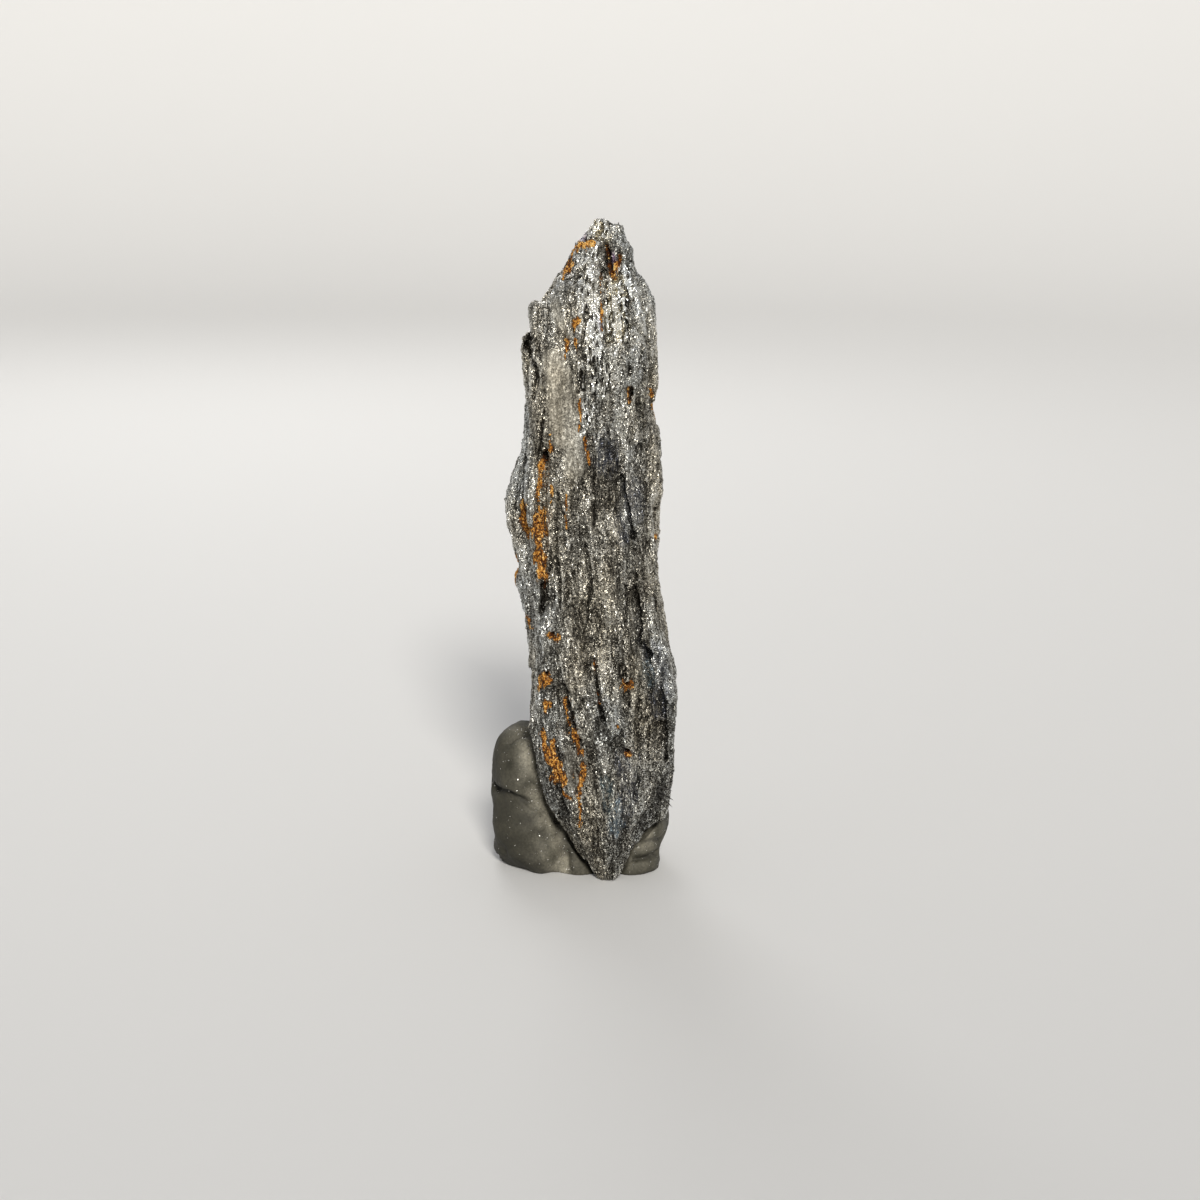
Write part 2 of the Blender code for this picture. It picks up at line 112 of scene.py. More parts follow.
# Near the foot only a share of the relief is left. It grows to all of it over these heights, in millimetres.
FOOT_SHARE = 0.25
FOOT_RANGE = (-0.5, 2.5)
# How a plate's cell is read for its height and its tip, how far it tips, and the groove between two plates.
LIFT_SCALE = 7.3
TIP_SCALE = 3.1
TIP_MIDDLE = 0.2
TIP_REACH = 0.9
STEP_DEPTH = 0.5
STEP_WIDTH = 0.09
# How the relief's height becomes the mask of painted relief shade: darker in hollows and cracks, lighter on
# raised parts.
RELIEF_SHADE_FLAT = 0.5
RELIEF_SHADE_SLOPE = 0.9
RELIEF_SHADE_MOST = 2

# How marks end: a stroke's edge as shares of its half width, a pit's edge as shares of its reach, and how
# much each kind of edge wanders.
STROKE_EDGE = (0.65, 1.35)
PIT_EDGE = (0.3, 1.5)
RAGGED_REACH = 1.4
CRACK_RAGGED = 0.5
PIT_RAGGED = 0.45
TINT_RAGGED = 0.5
SMOOTH_RAGGED = 0.5
BACK_RUST_RAGGED = 0.25
# Strokes narrower than this, in millimetres, have ragged edges, and wider ones have broad soft ones.
NARROW_STROKE = 0.5
# Where the back's noise turns to rust and to tints, and how strong its tints are.
BACK_RUST_RANGE = (0.40, 0.52)
BACK_TINT_RANGE = (0.35, 0.6)
BACK_TINT_SHARE = 0.35

# Marks on the broad front face: (half width, points as (across, height)), in millimetres.
RUST = (
    (0.5, ((-2.8, 95.4), (-1.9, 96.2), (-0.2, 96.6))),
    (0.45, ((-3.2, 93.8), (-4.0, 92.3))),
    (0.2, ((-4.1, 92.0), (-4.3, 90.7))),
    (0.5, ((3.5, 93.7), (3.1, 91.9))),
    (0.26, ((2.0, 96.1), (2.3, 94.1), (2.6, 92.3))),
    (0.2, ((3.8, 94.9), (3.8, 93.7))),
    (0.18, ((1.1, 92.0), (1.3, 88.4), (1.5, 84.6))),
    (0.42, ((-1.9, 86.0), (-2.6, 85.6))),
    (0.3, ((-2.3, 85.3), (-2.5, 84.4))),
    (0.22, ((-2.2, 83.3), (-2.0, 81.5))),
    (0.4, ((-3.4, 82.9), (-3.7, 80.4))),
    (0.18, ((-1.4, 75.1), (-1.3, 71.6))),
    (0.16, ((-1.5, 71.1), (-1.4, 70.0))),
    (0.2, ((-0.7, 69.4), (-0.4, 67.7), (0.3, 65.3))),
    (0.4, ((-5.7, 69.3), (-5.7, 67.4))),
    (0.42, ((-6.6, 66.0), (-6.8, 61.9))),
    (0.25, ((-7.1, 61.6), (-7.2, 57.4))),
    (0.5, ((-9.3, 58.9), (-9.5, 56.3), (-9.1, 54.7))),
    (0.3, ((-8.4, 55.4), (-8.7, 53.7))),
    (0.9, ((-7.0, 57.1), (-7.1, 53.9), (-6.8, 50.9))),
    (0.7, ((-6.6, 50.6), (-6.3, 48.3))),
    (0.3, ((-6.1, 48.0), (-5.9, 46.8))),
    (0.3, ((-5.5, 62.3), (-5.3, 59.5))),
    (0.16, ((-3.1, 61.0), (-2.9, 56.0))),
    (0.25, ((10.2, 54.3), (10.2, 53.5))),
    (0.3, ((-8.6, 41.5), (-8.0, 40.0))),
    (0.5, ((-5.2, 40.2), (-4.1, 39.4))),
    (0.5, ((-5.7, 33.9), (-6.3, 32.4), (-5.1, 32.8))),
    (0.3, ((-6.6, 31.3), (-6.0, 33.5))),
    (0.4, ((-5.3, 29.4), (-5.5, 28.1))),
    (0.3, ((-2.7, 29.8), (-1.7, 25.4))),
    (0.75, ((-1.5, 24.9), (-0.7, 23.2))),
    (0.45, ((-0.6, 23.1), (-0.3, 21.8))),
    (0.55, ((-5.7, 24.2), (-5.2, 21.7))),
    (0.5, ((-4.5, 23.3), (-4.0, 21.0))),
    (1.1, ((-4.7, 20.9), (-3.8, 18.9), (-2.9, 17.5))),
    (0.3, ((-2.8, 15.7), (-1.6, 14.5))),
    (0.6, ((0.2, 19.6), (-0.1, 16.8))),
    (0.45, ((-0.3, 16.5), (-0.4, 14.5))),
    (0.25, ((-0.1, 13.9), (0.0, 9.9))),
    (0.7, ((6.3, 32.5), (6.9, 32.6))),
    (0.25, ((5.2, 26.3), (5.3, 26.0))),
    (0.45, ((6.9, 21.9), (7.1, 21.8))),
    (0.4, ((5.5, 76.2), (5.5, 74.7))),
    (0.35, ((8.8, 75.9), (9.0, 74.7))),
    (0.14, ((1.5, 36.0), (1.7, 34.7))),
    (0.14, ((2.2, 31.3), (2.4, 29.7))),
)
PURPLE = (
    (0.6, ((-1.7, 97.9), (-1.8, 97.0))),
    (0.3, ((2.8, 95.2), (3.0, 93.8))),
    (0.3, ((1.3, 86.1), (1.4, 84.8))),
)
BLUE = (
    (1.7, ((2.5, 68.4), (2.6, 65.4))),
    (1.6, ((6.6, 61.3), (7.1, 57.8))),
    (1.1, ((4.7, 56.8), (5.3, 54.4))),
    (1.6, ((9.8, 37.6), (11.6, 33.3), (11.2, 28.4))),
    (1.6, ((6.5, 21.0), (7.2, 16.2), (5.3, 9.7))),
)
TEAL = (
    (1.1, ((3.7, 17.1), (4.7, 13.5), (5.4, 9.6))),
    (0.9, ((9.5, 35.1), (9.9, 32.6))),
)
CREAM = (
    (1.5, ((3.2, 91.2), (3.5, 84.0))),
    (1.1, ((0.2, 99.0), (1.4, 97.6))),
)
# The tints: (name of the mask, strokes on the front, seed of the patches on the back).
TINTS = (("purple", PURPLE, 114), ("blue", BLUE, 76), ("teal", TEAL, 76), ("cream", CREAM, 95))
# Plates that are worn smooth.
SMOOTH = (
    (1.0, ((-3.9, 78.7), (-3.4, 76.3), (-2.6, 74.6))),
    (1.6, ((-5.5, 80.6), (-4.9, 76.8), (-4.5, 72.5), (-3.9, 68.8))),
    (1.5, ((-2.8, 72.4), (-2.3, 68.9), (-1.9, 64.7))),
    (0.9, ((-1.6, 21.6), (-1.6, 16.9))),
    (1.0, ((-5.2, 88.4), (-4.5, 85.1))),
)
# Where light and dark flakes differ most.
CRISP = (
    (1.6, ((0.8, 99.2), (-0.5, 96.5), (-1.0, 90.4), (0.2, 84.7))),
    (1.5, ((0.8, 84.4), (1.6, 77.0))),
    (1.6, ((3.2, 92.2), (3.5, 84.0))),
    (0.5, ((-1.4, 79.6), (-1.0, 75.4), (-0.4, 71.8))),
)
# Lighter and darker strokes: (change of tone, half width, points). The lighter strokes near the top, on the
# crest and in its narrow bright streaks, are painted highlights where it faces the light; the darker strokes
# along the slot at the top and the crack on the left are painted shade.
TONE_AND_LIGHT_STROKES = (
    (0.38, 1.5, ((-0.5, 95.5), (-1.0, 90.4), (-0.2, 84.7))),
    (0.24, 0.9, ((0.4, 83.4), (1.1, 78.9))),
    (0.33, 1.4, ((3.2, 91.2), (3.5, 84.0))),
    (0.14, 0.8, ((6.2, 90.3), (6.8, 82.7))),
    (0.24, 0.4, ((3.6, 57.8), (3.9, 55.2))),
    (0.24, 0.6, ((-1.4, 57.2), (0.4, 60.4))),
    (0.26, 0.3, ((-1.8, 95.7), (-1.3, 92.9), (-0.7, 88.9))),
    (0.22, 0.25, ((-0.1, 93.6), (0.1, 90.2), (-0.3, 87.4))),
    (0.3, 0.3, ((1.4, 84.7), (0.9, 81.7), (0.5, 78.4))),
    (0.26, 0.22, ((2.7, 83.9), (2.9, 80.4), (3.3, 77.9))),
    (0.24, 0.25, ((2.0, 82.6), (1.9, 78.8))),
    (0.22, 0.25, ((3.6, 81.6), (3.7, 77.6))),
    (0.22, 0.25, ((1.4, 77.7), (1.8, 75.1))),
    (0.2, 0.2, ((4.2, 72.4), (4.7, 69.2))),
    (0.16, 0.3, ((-1.4, 79.6), (-1.0, 75.4), (-0.4, 71.8))),
    (-0.3, 0.35, ((0.6, 81.3), (1.2, 78.8), (1.4, 76.2))),
    (-0.3, 0.42, ((2.0, 96.1), (2.3, 94.1), (2.6, 92.3))),
    (-0.42, 1.8, ((3.4, 67.3), (2.9, 63.3), (2.7, 59.6))),
    (-0.32, 1.5, ((6.4, 54.0), (7.0, 50.0), (7.4, 45.8))),
    (-0.1, 1.8, ((7.6, 70.0), (7.8, 58.0))),
    (-0.36, 0.6, ((-5.9, 47.3), (-6.2, 45.0), (-6.5, 43.1))),
)
# Tone of the metal by height, from the point to the peak. Its darkening towards the point is partly painted
# light: the fall of the light from the top down.
TONE_AND_FALLOFF = ((0, 0.29), (15, 0.36), (30, 0.49), (50, 0.59), (80, 0.62), (100, 0.68))
SMOOTH_DARKENS = 0.12
# How much the contrast of the flakes changes on cream, on smooth plates, and near the point up to a height.
CREAM_CONTRAST = 0.3
SMOOTH_CONTRAST = 0.6
LOW_CONTRAST = 0.3
LOW_REACH = 30
# How strongly single plates show where flakes differ most, and on cream.
CRISP_SHARE = 0.55
CREAM_CRISP = 0.75

# Cracks of the front face: (half width, depth, points).
CRACKS = (
    (0.2, 1.0, ((-8.7, 83.4), (-9.3, 81.5), (-8.7, 80.3), (-7.9, 78.8), (-7.8, 76.8), (-8.3, 74.7))),
    (0.28, 1.2, ((2.0, 96.1), (2.3, 94.1), (2.6, 92.3))),
    (0.2, 0.7, ((3.7, 95.8), (3.9, 93.2))),
    (0.18, 1.1, ((4.8, 63.4), (5.3, 61.1), (5.8, 58.9), (6.3, 56.8), (6.8, 54.4))),
    (0.22, 1.0, ((7.1, 46.8), (7.9, 43.3), (8.2, 41.1), (8.0, 38.9), (8.7, 37.7), (10.1, 37.1))),
    (0.3, 0.8, ((-6.3, 47.2), (-6.0, 45.6), (-6.5, 43.2))),
    (0.22, 0.9, ((6.0, 47.1), (6.3, 44.7), (6.2, 41.6))),
    (0.2, 0.8, ((8.7, 38.8), (9.5, 35.9), (10.4, 34.7))),
    (0.18, 1.1, ((1.6, 36.6), (2.2, 33.5), (2.6, 29.7), (3.2, 27.1))),
    (0.16, 0.9, ((-2.8, 32.2), (-2.4, 29.4), (-1.9, 27.3), (-1.4, 25.3))),
    (0.3, 1.0, ((11.9, 26.2), (12.2, 23.9), (12.6, 21.5))),
    (0.22, 0.8, ((11.7, 35.0), (11.7, 31.6), (11.9, 26.9))),
    (0.22, 0.8, ((-3.5, 16.3), (-3.0, 14.2), (-2.2, 11.8))),
    (0.3, 0.8, ((6.8, 74.7), (7.4, 72.9), (8.5, 71.3))),
    (0.2, 0.8, ((-6.9, 71.1), (-7.0, 65.8))),
    (0.18, 0.7, ((0.7, 78.3), (0.7, 73.1), (1.3, 69.1))),
    (0.18, 0.6, ((-4.9, 57.2), (-4.1, 49.9), (-3.6, 44.4))),
    (0.18, 0.6, ((-0.1, 53.6), (0.7, 46.6), (0.5, 40.6))),
    (0.18, 0.6, ((8.5, 30.1), (8.9, 22.2), (8.3, 14.5))),
    (0.15, 0.6, ((-1.5, 79.0), (-1.1, 75.8))),
    (0.15, 0.6, ((-1.5, 45.6), (-0.9, 39.6))),
    (0.15, 0.6, ((4.1, 39.6), (4.5, 34.9))),
)
# Open pits of the front face: (half width, half length, depth, place).
PITS = (
    (0.2, 0.6, 0.9, (5.8, 78.9)),
    (0.26, 1.0, 1.3, (5.9, 75.4)),
    (0.4, 0.7, 1.5, (9.4, 72.9)),
    (0.22, 0.8, 1.1, (-6.3, 66.4)),
    (0.35, 0.4, 1.6, (6.6, 32.6)),
    (0.3, 0.35, 1.4, (6.9, 22.3)),
    (0.35, 0.4, 1.4, (-0.3, 23.7)),
    (0.25, 0.35, 1.2, (-4.9, 40.2)),
    (0.25, 0.4, 1.1, (-5.5, 34.0)),
    (0.35, 0.9, 1.1, (12.6, 21.5)),
    (0.4, 0.6, 1.3, (3.1, 90.1)),
    (0.4, 0.6, 1.3, (4.0, 87.7)),
    (0.25, 0.6, 1.2, (2.9, 86.3)),
    (0.22, 0.6, 1.0, (2.1, 88.4)),
    (0.25, 0.7, 1.0, (4.9, 86.0)),
    (0.25, 0.7, 1.1, (2.7, 83.5)),
    (0.2, 0.5, 0.9, (3.9, 84.0)),
    (0.3, 0.6, 0.8, (1.3, 80.4)),
    (0.25, 0.5, 0.8, (2.3, 81.6)),
)

# Small blades that lie along the grain of the whole stone, in millimetres.
BLADES = 5600
BLADE_LENGTH = (0.35, 1.1)
BLADE_WIDTH = (0.14, 0.36)
BLADE_THICKNESS = 0.07
BLADE_TILT = 0.35
BLADE_LEAN = 0.1
# Blades carry this fixed value of the painted relief shade, which makes them a little lighter.
BLADE_RELIEF_SHADE = 0.3
BLADE_SEED = 31
# Blades on level ground are shorter by this share.
LEVEL_SHORTENS = 0.6
# The two rings of a blade: (share of its length, share of its width).
BLADE_RINGS = ((0.22, 1.0), (0.72, 0.8))
# The dark blades that stick out at the stone's lower right: (foot, head, width), in millimetres.
SPURS = (
    ((12.1, -8.7, 15.9), (13.9, -8.4, 15.2), 0.30), ((12.0, -8.3, 15.0), (14.1, -8.0, 13.6), 0.34),
    ((12.0, -8.2, 14.4), (14.0, -7.8, 12.4), 0.30), ((11.7, -8.3, 13.7), (13.5, -8.0, 11.9), 0.26),
    ((11.9, -8.6, 15.6), (13.0, -8.7, 16.7), 0.24), ((11.3, -8.6, 13.1), (12.6, -8.2, 11.8), 0.26),
    ((10.8, -8.9, 12.1), (11.4, -8.8, 10.8), 0.24), ((9.9, -9.1, 11.5), (10.3, -9.0, 10.4), 0.22),
    ((9.2, -9.7, 11.1), (9.4, -9.5, 10.0), 0.22),
)
# How far a dark blade goes on inside the stone, and its thickness, as shares of its length and its width.
SPUR_ROOT = 0.4
SPUR_FLATNESS = 0.7

# Creases of the putty: (half width, depth, points), in millimetres.
PUTTY_CREASES = (
    (0.5, 1.0, ((-13.9, 2.0, 13.4), (-13.2, -0.9, 12.4), (-12.0, -3.4, 12.8), (-10.9, -4.5, 12.9))),
    (0.45, 0.7, ((-10.9, -4.5, 12.9), (-9.7, -5.0, 12.5), (-8.3, -5.2, 11.8), (-7.2, -5.4, 11.0))),
    (0.3, 0.6, ((-10.4, -4.0, 3.4), (-9.4, -4.8, 4.0), (-8.0, -5.6, 5.9))),
    (0.25, 0.8, ((-13.2, 0.6, 0.6), (-12.7, -1.0, 1.2), (-11.0, -3.7, 3.4))),
    (0.22, 0.7, ((-12.8, 0.4, 0.0), (-12.2, -1.0, 0.4), (-10.4, -3.7, 2.6))),
    (0.35, 0.6, ((-11.0, -2.0, 20.0), (-9.6, -1.4, 21.1), (-8.1, -1.5, 21.5))),
    (0.4, 0.9, ((6.4, -5.4, 2.9), (8.1, -4.8, 2.7), (10.1, -4.3, 2.7), (12.2, -1.8, 2.8))),
    (0.7, 1.3, ((-3.0, -5.2, 6.8), (-2.6, -5.4, 5.1), (-2.1, -5.4, 0.6))),
    (0.2, 0.3, ((-12.4, -1.6, 16.0), (-10.6, -3.2, 17.2), (-9.2, -3.8, 17.6))),
)
# The putty's own patterns of noise, as (scale across, scale up, seed), and their heights in millimetres.
DENTS = (0.35, 0.35, 3)
DENT_DEPTH = 0.22
BUMPS = (1.3, 1.3, 8)
BUMP_HEIGHT = 0.06
# Noise that breaks up the painted light beside the stone.
PAINTED_LIGHT_CLOUDS = (0.5, 0.5, 21)
# Finger ridges, in millimetres: they slant and bend, and show only where the noise of the prints is high.
RIDGE_SPACING = 0.5
RIDGE_HEIGHT = 0.02
RIDGE_SLANT = 0.35
RIDGE_BEND = (0.2, 0.2, 4)
RIDGE_BEND_REACH = 0.8
PRINTS = (0.16, 0.16, 12)
PRINT_RANGE = (0.1, 0.4)
# Below this height the putty's relief fades out, in millimetres.
PUTTY_FOOT = 0.6
# The putty's relief shade mask paints shade in its creases and dents.
PUTTY_RELIEF_SHADE_FLAT = 0.4

# The stone's lower left edge, as distance from the middle at the foot, and its lean.
EDGE_FOOT = 2.2
EDGE_SLOPE = 0.3
# The middle of the painted light on the putty's right lobe as (across, height), its flatness and its radius.
RIGHT_LOBE = (9.0, 8.0)
LOBE_FLATNESS = 0.5
LOBE_RADIUS = 1.0
# How far the painted light reaches from the stone, how strong it is, and where it ends towards the back, in
# millimetres.
PAINTED_LIGHT_REACH = 2.2
PAINTED_LIGHT_SHARE = 0.75
PAINTED_LIGHT_FRONT = 2.0
PAINTED_LIGHT_EDGE = (-1.0, 3.0)
# Flakes in the putty: how many, how many places are tried for each, and where they gather, in millimetres.
FLAKES = 900
FLAKE_TRIES = 6
FLAKE_SEED = 47
FLAKE_REACH = 1.3
LOBE_REACH = 2.0
LOBE_FLAKES = 0.5
FLAKES_ANYWHERE = 0.07
# No flake sits where the surface looks down more than this.
UNDERSIDE = -0.5
# The size of a flake, in millimetres. Its width is a multiple of its half length.
FLAKE_HALF = (0.04, 0.13)
FLAKE_WIDTH = 1.3
FLAKE_LIFT = 0.05
FLAKE_THICKNESS = 0.05

# How often each pattern of the metal repeats in a millimetre: across the grain, into the stone, and up it.
LARGE_FLAKES = (3.4, 3.4, 1.9)
SMALL_FLAKES = (6.8, 6.8, 6.2)
METAL_PLATES = (2.6, 2.6, 0.9)
METAL_FIBRES = (2.4, 2.4, 0.36)
BROAD_BANDS = (0.42, 0.42, 0.1)
WARM_BANDS = (0.16, 0.16, 0.06)
TARNISH_PATCHES = (1.5, 1.5, 0.6)
RUST_CRUMBS = (4.6, 4.6, 3.8)
RUST_SPECKLE = (2.8, 2.8, 1.7)
# What each pattern and mask adds to the metal's shade, as (slope, offset).
LARGE_SHADE = (0.36, -0.18)
SMALL_SHADE = (1.05, -0.525)
FIBRE_SHADE = (1.1, -0.55)
PLATE_SHADE = (3.6, -1.75)
BROAD_SHADE = (0.5, -0.25)
TONE_SHADE = (0.8, 0.14)
# The relief shade mask paints shade: hollows and cracks darker, raised parts lighter.
PAINTED_RELIEF_SHADE = (-0.65, 0.325)
METAL_COLOURS = (
    (0.05, (0.022, 0.020, 0.017)), (0.32, (0.112, 0.106, 0.092)), (0.58, (0.38, 0.37, 0.335)),
    (0.85, (0.92, 0.92, 0.88)), (1.0, (0.98, 1.0, 1.0)),
)
WARM_OR_COOL = ((0.36, (1.0, 0.94, 0.83)), (0.66, (0.95, 0.97, 0.98)))
# Tarnish: how patchy it is, and (mask, colour, strength) of each tint.
TARNISH_SHARE = (3.2, -1.15)
TARNISH = (
    ("purple", (0.50, 0.30, 0.56), 0.5), ("blue", (0.17, 0.20, 0.28), 0.26),
    ("teal", (0.16, 0.27, 0.33), 0.34), ("cream", (1.0, 0.86, 0.56), 0.34),
)
# Rust: its gaps, how fully and how sharply it covers the metal, and what changes its shade.
# Pairs are (slope, offset).
SPECKLE_GAPS = (3.6, -1.1)
CRUMB_GAPS = (0.5, -0.1)
RUST_FULLNESS = 1.35
RUST_SHARPNESS = 3.5
RUST_BY_FLAKE = (0.95, -0.25)
RUST_BY_SPECKLE = (-2.4, 1.42)
RUST_BY_TONE = (0.5, -0.24)
# Rust is darker in hollows and lighter on raised parts: painted shade from the relief shade mask.
RUST_BY_RELIEF_SHADE = (-0.75, 0.34)
RUST_COLOURS = (
    (0.12, (0.06, 0.016, 0.002)), (0.34, (0.36, 0.12, 0.012)),
    (0.58, (0.78, 0.37, 0.06)), (0.92, (1.0, 0.74, 0.30)),
)
STAIN = (0.055, 0.032, 0.018)
STAIN_SHARE = 0.8
# How far single flakes tilt, less on rust and on smooth plates, and how far flakes and crumbs stand out.
TILT_MIDDLE = (0.5, 0.5, 0.5)
WIDE_TILT = 0.5
FINE_TILT = 1.2
FLAKY_SHARE = (-0.75, 1.0)
FLAKE_BUMP = 0.4
CRUMB_BUMP = 1.2
# Gloss of the flakes as (slope, offset), of rust and of smooth plates, and how metallic the bare stone is.
FLAKE_ROUGHNESS = (0.22, 0.16)
RUST_ROUGHNESS = 0.9
SMOOTH_ROUGHNESS = 0.62
METALLIC = 0.8

# The other materials: how often their patterns repeat in a metre, and their colours from dark to light.
SPUR_GRAIN = 2200.0
SPUR_COLOURS = ((0.3, (0.01, 0.01, 0.01)), (0.75, (0.10, 0.095, 0.085)))
LOOSE_GRAIN = 3000.0
LOOSE_COLOURS = ((0.35, (0.25, 0.24, 0.22)), (0.65, (0.8, 0.78, 0.72)))
PUTTY_BLOTCH = 160.0
PUTTY_GRIT = 2600.0
BLOTCH_SHADE = 0.6
GRIT_SHADE = 0.4
# How much darker the creases and dents are: painted shade.
PAINTED_CREASE_SHADE = 0.25
GRIT_BUMP = 0.6
PUTTY_ROUGHNESS = (0.25, 0.55)
PUTTY_COLOURS = (
    (0.18, (0.012, 0.011, 0.008)), (0.42, (0.029, 0.027, 0.018)), (0.7, (0.062, 0.057, 0.039)),
)
# Painted light on the putty: how the grit breaks it up, and its colour.
PAINTED_LIGHT_BY_GRIT = (1.6, -0.1)
PAINTED_LIGHT_COLOUR = (0.34, 0.315, 0.245)
SPECK_GRAIN = 1500.0
SPECK_SIZE = 0.12
SPECK_SHARE = 0.6
SPECK_COLOUR = (0.03, 0.028, 0.024)

# The floor's flat part and its sweep, in metres.
FLOOR_RADIUS = 0.9
SWEEP = 1.1
SWEEP_STEPS = 16
FLOOR_SIDES = 96
FLOOR_MERGE = 0.0001
FLOOR_COLOUR = (0.67, 0.665, 0.65)

# The far lamp: where it shines from, its strength, its width in degrees and its colour.
KEY_FROM = (0.12, -0.80, 0.56)
KEY_STRENGTH = 3.0
KEY_ANGLE = 13
KEY_COLOUR = (1.0, 0.97, 0.92)
# The near lamps: (name, place, target, size, watts, colour), in millimetres.
LAMPS = (
    ("fill", (-520, -360, 300), (0, 0, 40), 400, 0.1, (0.93, 0.96, 1.0)),
    ("back", (-160, 520, 420), (0, 0, 60), 300, 0.9, (1.0, 1.0, 1.0)),
)
SKY_COLOUR = (0.92, 0.94, 1.0)
SKY_STRENGTH = 0.35


def stretched(places, across, up, seed):
    """Noise at each place, short across the grain and long up it."""
    return np.array([noise.noise(Vector((x * across, y * across, z * up + seed))) for x, y, z in places])


def folded(places, across, up, seed):
    """The same noise, folded into sharp ridges."""
    return 0.5 - np.abs(stretched(places, across, up, seed)) * 2


def smooth_step(low, high, values):
    """Rises smoothly from 0 at the low value to 1 at the high one."""
    share = np.clip((values - low) / (high - low), 0, 1)
    return share * share * (3 - 2 * share)


def along(profile, heights):
    """The value of a profile of (height, value) pairs at each height."""
    return np.interp(heights, *zip(*profile))


def grain_places(places):
    """Places in coordinates that run with the grain: across it, into the stone, and up it."""
    squeeze = np.sqrt(FULL_HALF / along(GRAIN_HALF, places[:, 2]))
    across = (places[:, 0] - along(GRAIN_MIDDLE, places[:, 2])) * squeeze
    bent = np.stack([across, places[:, 1], places[:, 2]], axis=1)
    bent[:, 0] += BEND_REACH * stretched(places, *BEND)
    return bent


def path_distance(spots, path):
    """Distance from each spot to a run of straight lines."""
    best = np.full(len(spots), np.inf)
    path = np.array(path, float)
    for start, end in zip(path, path[1:]):
        line = end - start
        share = np.clip((spots - start) @ line / (line @ line), 0, 1)
        best = np.minimum(best, np.linalg.norm(spots - start - share[:, None] * line, axis=1))
    return best


def stroke_mask(places, facing, strokes, ragged):
    """How much each place of the front face lies in one of the strokes, with ragged edges."""
    mask = np.zeros(len(places))
    for half_width, path in strokes:
        distance = path_distance(places[:, [0, 2]], path) + ragged * half_width
        inner, outer = (half_width * share for share in STROKE_EDGE)
        mask = np.maximum(mask, 1 - smooth_step(inner, outer, distance))
    return mask * facing


def read_places(mesh):
    flat = np.empty(len(mesh.vertices) * 3)
    mesh.vertices.foreach_get("co", flat)
    return flat.reshape(-1, 3)


def read_normals(mesh):
    return np.array([v.normal for v in mesh.vertices])


def write_places(mesh, places):
    mesh.vertices.foreach_set("co", places.ravel())
    mesh.update()


def write_mask(mesh, name, values):
    layer = mesh.attributes.new(name, "FLOAT", "POINT")
    layer.data.foreach_set("value", np.ascontiguousarray(values, dtype=np.float32))


def apply_modifiers(piece):
    graph = bpy.context.evaluated_depsgraph_get()
    piece.data = bpy.data.meshes.new_from_object(piece.evaluated_get(graph))
    piece.modifiers.clear()


def link(thing):
    bpy.context.scene.collection.objects.link(thing)
    return thing


def fine_copy(node, name, voxel, smoothing):
    """A remeshed copy of a solid, in millimetres, with its facets smoothed away."""
    mesh = bmesh.new()
    mesh.from_mesh(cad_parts[node].data)
    bmesh.ops.scale(mesh, vec=(1 / MM, 1 / MM, 1 / MM), verts=mesh.verts)
    bmesh.ops.remove_doubles(mesh, verts=mesh.verts, dist=MERGE)
    data = bpy.data.meshes.new(name)
    mesh.to_mesh(data)
    mesh.free()
    piece = link(bpy.data.objects.new(name, data))
    remesh = piece.modifiers.new("remesh", "REMESH")
    remesh.mode = "VOXEL"
    remesh.voxel_size = voxel
    smooth = piece.modifiers.new("smooth", "SMOOTH")
    smooth.iterations = smoothing
    apply_modifiers(piece)
    return piece


def plate_relief(grain, across, up, seed):
    """Overlapping plates: each cell stands at its own height, tips along the grain and ends in a step."""
    heights = np.empty(len(grain))
    for index, (x, y, z) in enumerate(grain):
        place = Vector((x * across, y * across, z * up + seed))
        distances, centres = noise.voronoi(place)
        lift = noise.cell(centres[0] * LIFT_SCALE)
        tip = (place.z - centres[0].z) * (noise.cell(centres[0] * TIP_SCALE) - TIP_MIDDLE)
        step = math.exp(-((distances[1] - distances[0]) / STEP_WIDTH) ** 2)
        heights[index] = lift + TIP_REACH * tip - STEP_DEPTH * step
    return heights


def crack_relief(places, facing, ragged):
    """How far the named cracks and pits of the front face sink each place."""
    flat = places[:, [0, 2]]
    sunk = np.zeros(len(places))
    for half_width, depth, path in CRACKS:
        distance = path_distance(flat, path) + CRACK_RAGGED * half_width * ragged
        sunk = np.maximum(sunk, depth * np.exp(-((distance / half_width) ** 2)))
    for half_width, half_length, depth, centre in PITS:
        reach = np.hypot((flat[:, 0] - centre[0]) / half_width, (flat[:, 1] - centre[1]) / half_length)
        sunk = np.maximum(sunk, depth * (1 - smooth_step(*PIT_EDGE, reach + PIT_RAGGED * ragged)))
    return sunk * facing


def stone_relief(places, grain, facing):
    """Height of the foliated skin over the smooth stone, in millimetres."""
    plates = plate_relief(grain, *PLATES) - 0.5
    chips = plate_relief(grain, *CHIPS) - 0.5
    pits = smooth_step(*PITTING_RANGE, stretched(grain, *PITTING))
    calm = 1 - SMOOTH_FLATTENS * stroke_mask(places, facing, SMOOTH, np.zeros(len(places)))
    height = STRAND_HEIGHT * folded(grain, *STRANDS) + FIBRE_HEIGHT * folded(grain, *FIBRES)
    height = height + PLATE_HEIGHT * plates + CHIP_HEIGHT * chips - PITTING_DEPTH * pits
    return height * calm


def inside_box(places):
    """Keeps places within the solids' own box."""
    low, high = (np.array(corner) / MM for corner in CAD_BOX)
    return np.clip(places, low + BOX_MARGIN, high - BOX_MARGIN)


def front_share(places):
    """1 on the front face, 0 on the sides and the back."""
    return smooth_step(*FRONT_EDGE, along(FRONT_DEPTH, places[:, 2]) - places[:, 1])


def ragged_edge(grain):
    """How far the edges of marks wander at each place, as a share of the mark's half width."""
    return stretched(grain, *RAGGED) * RAGGED_REACH


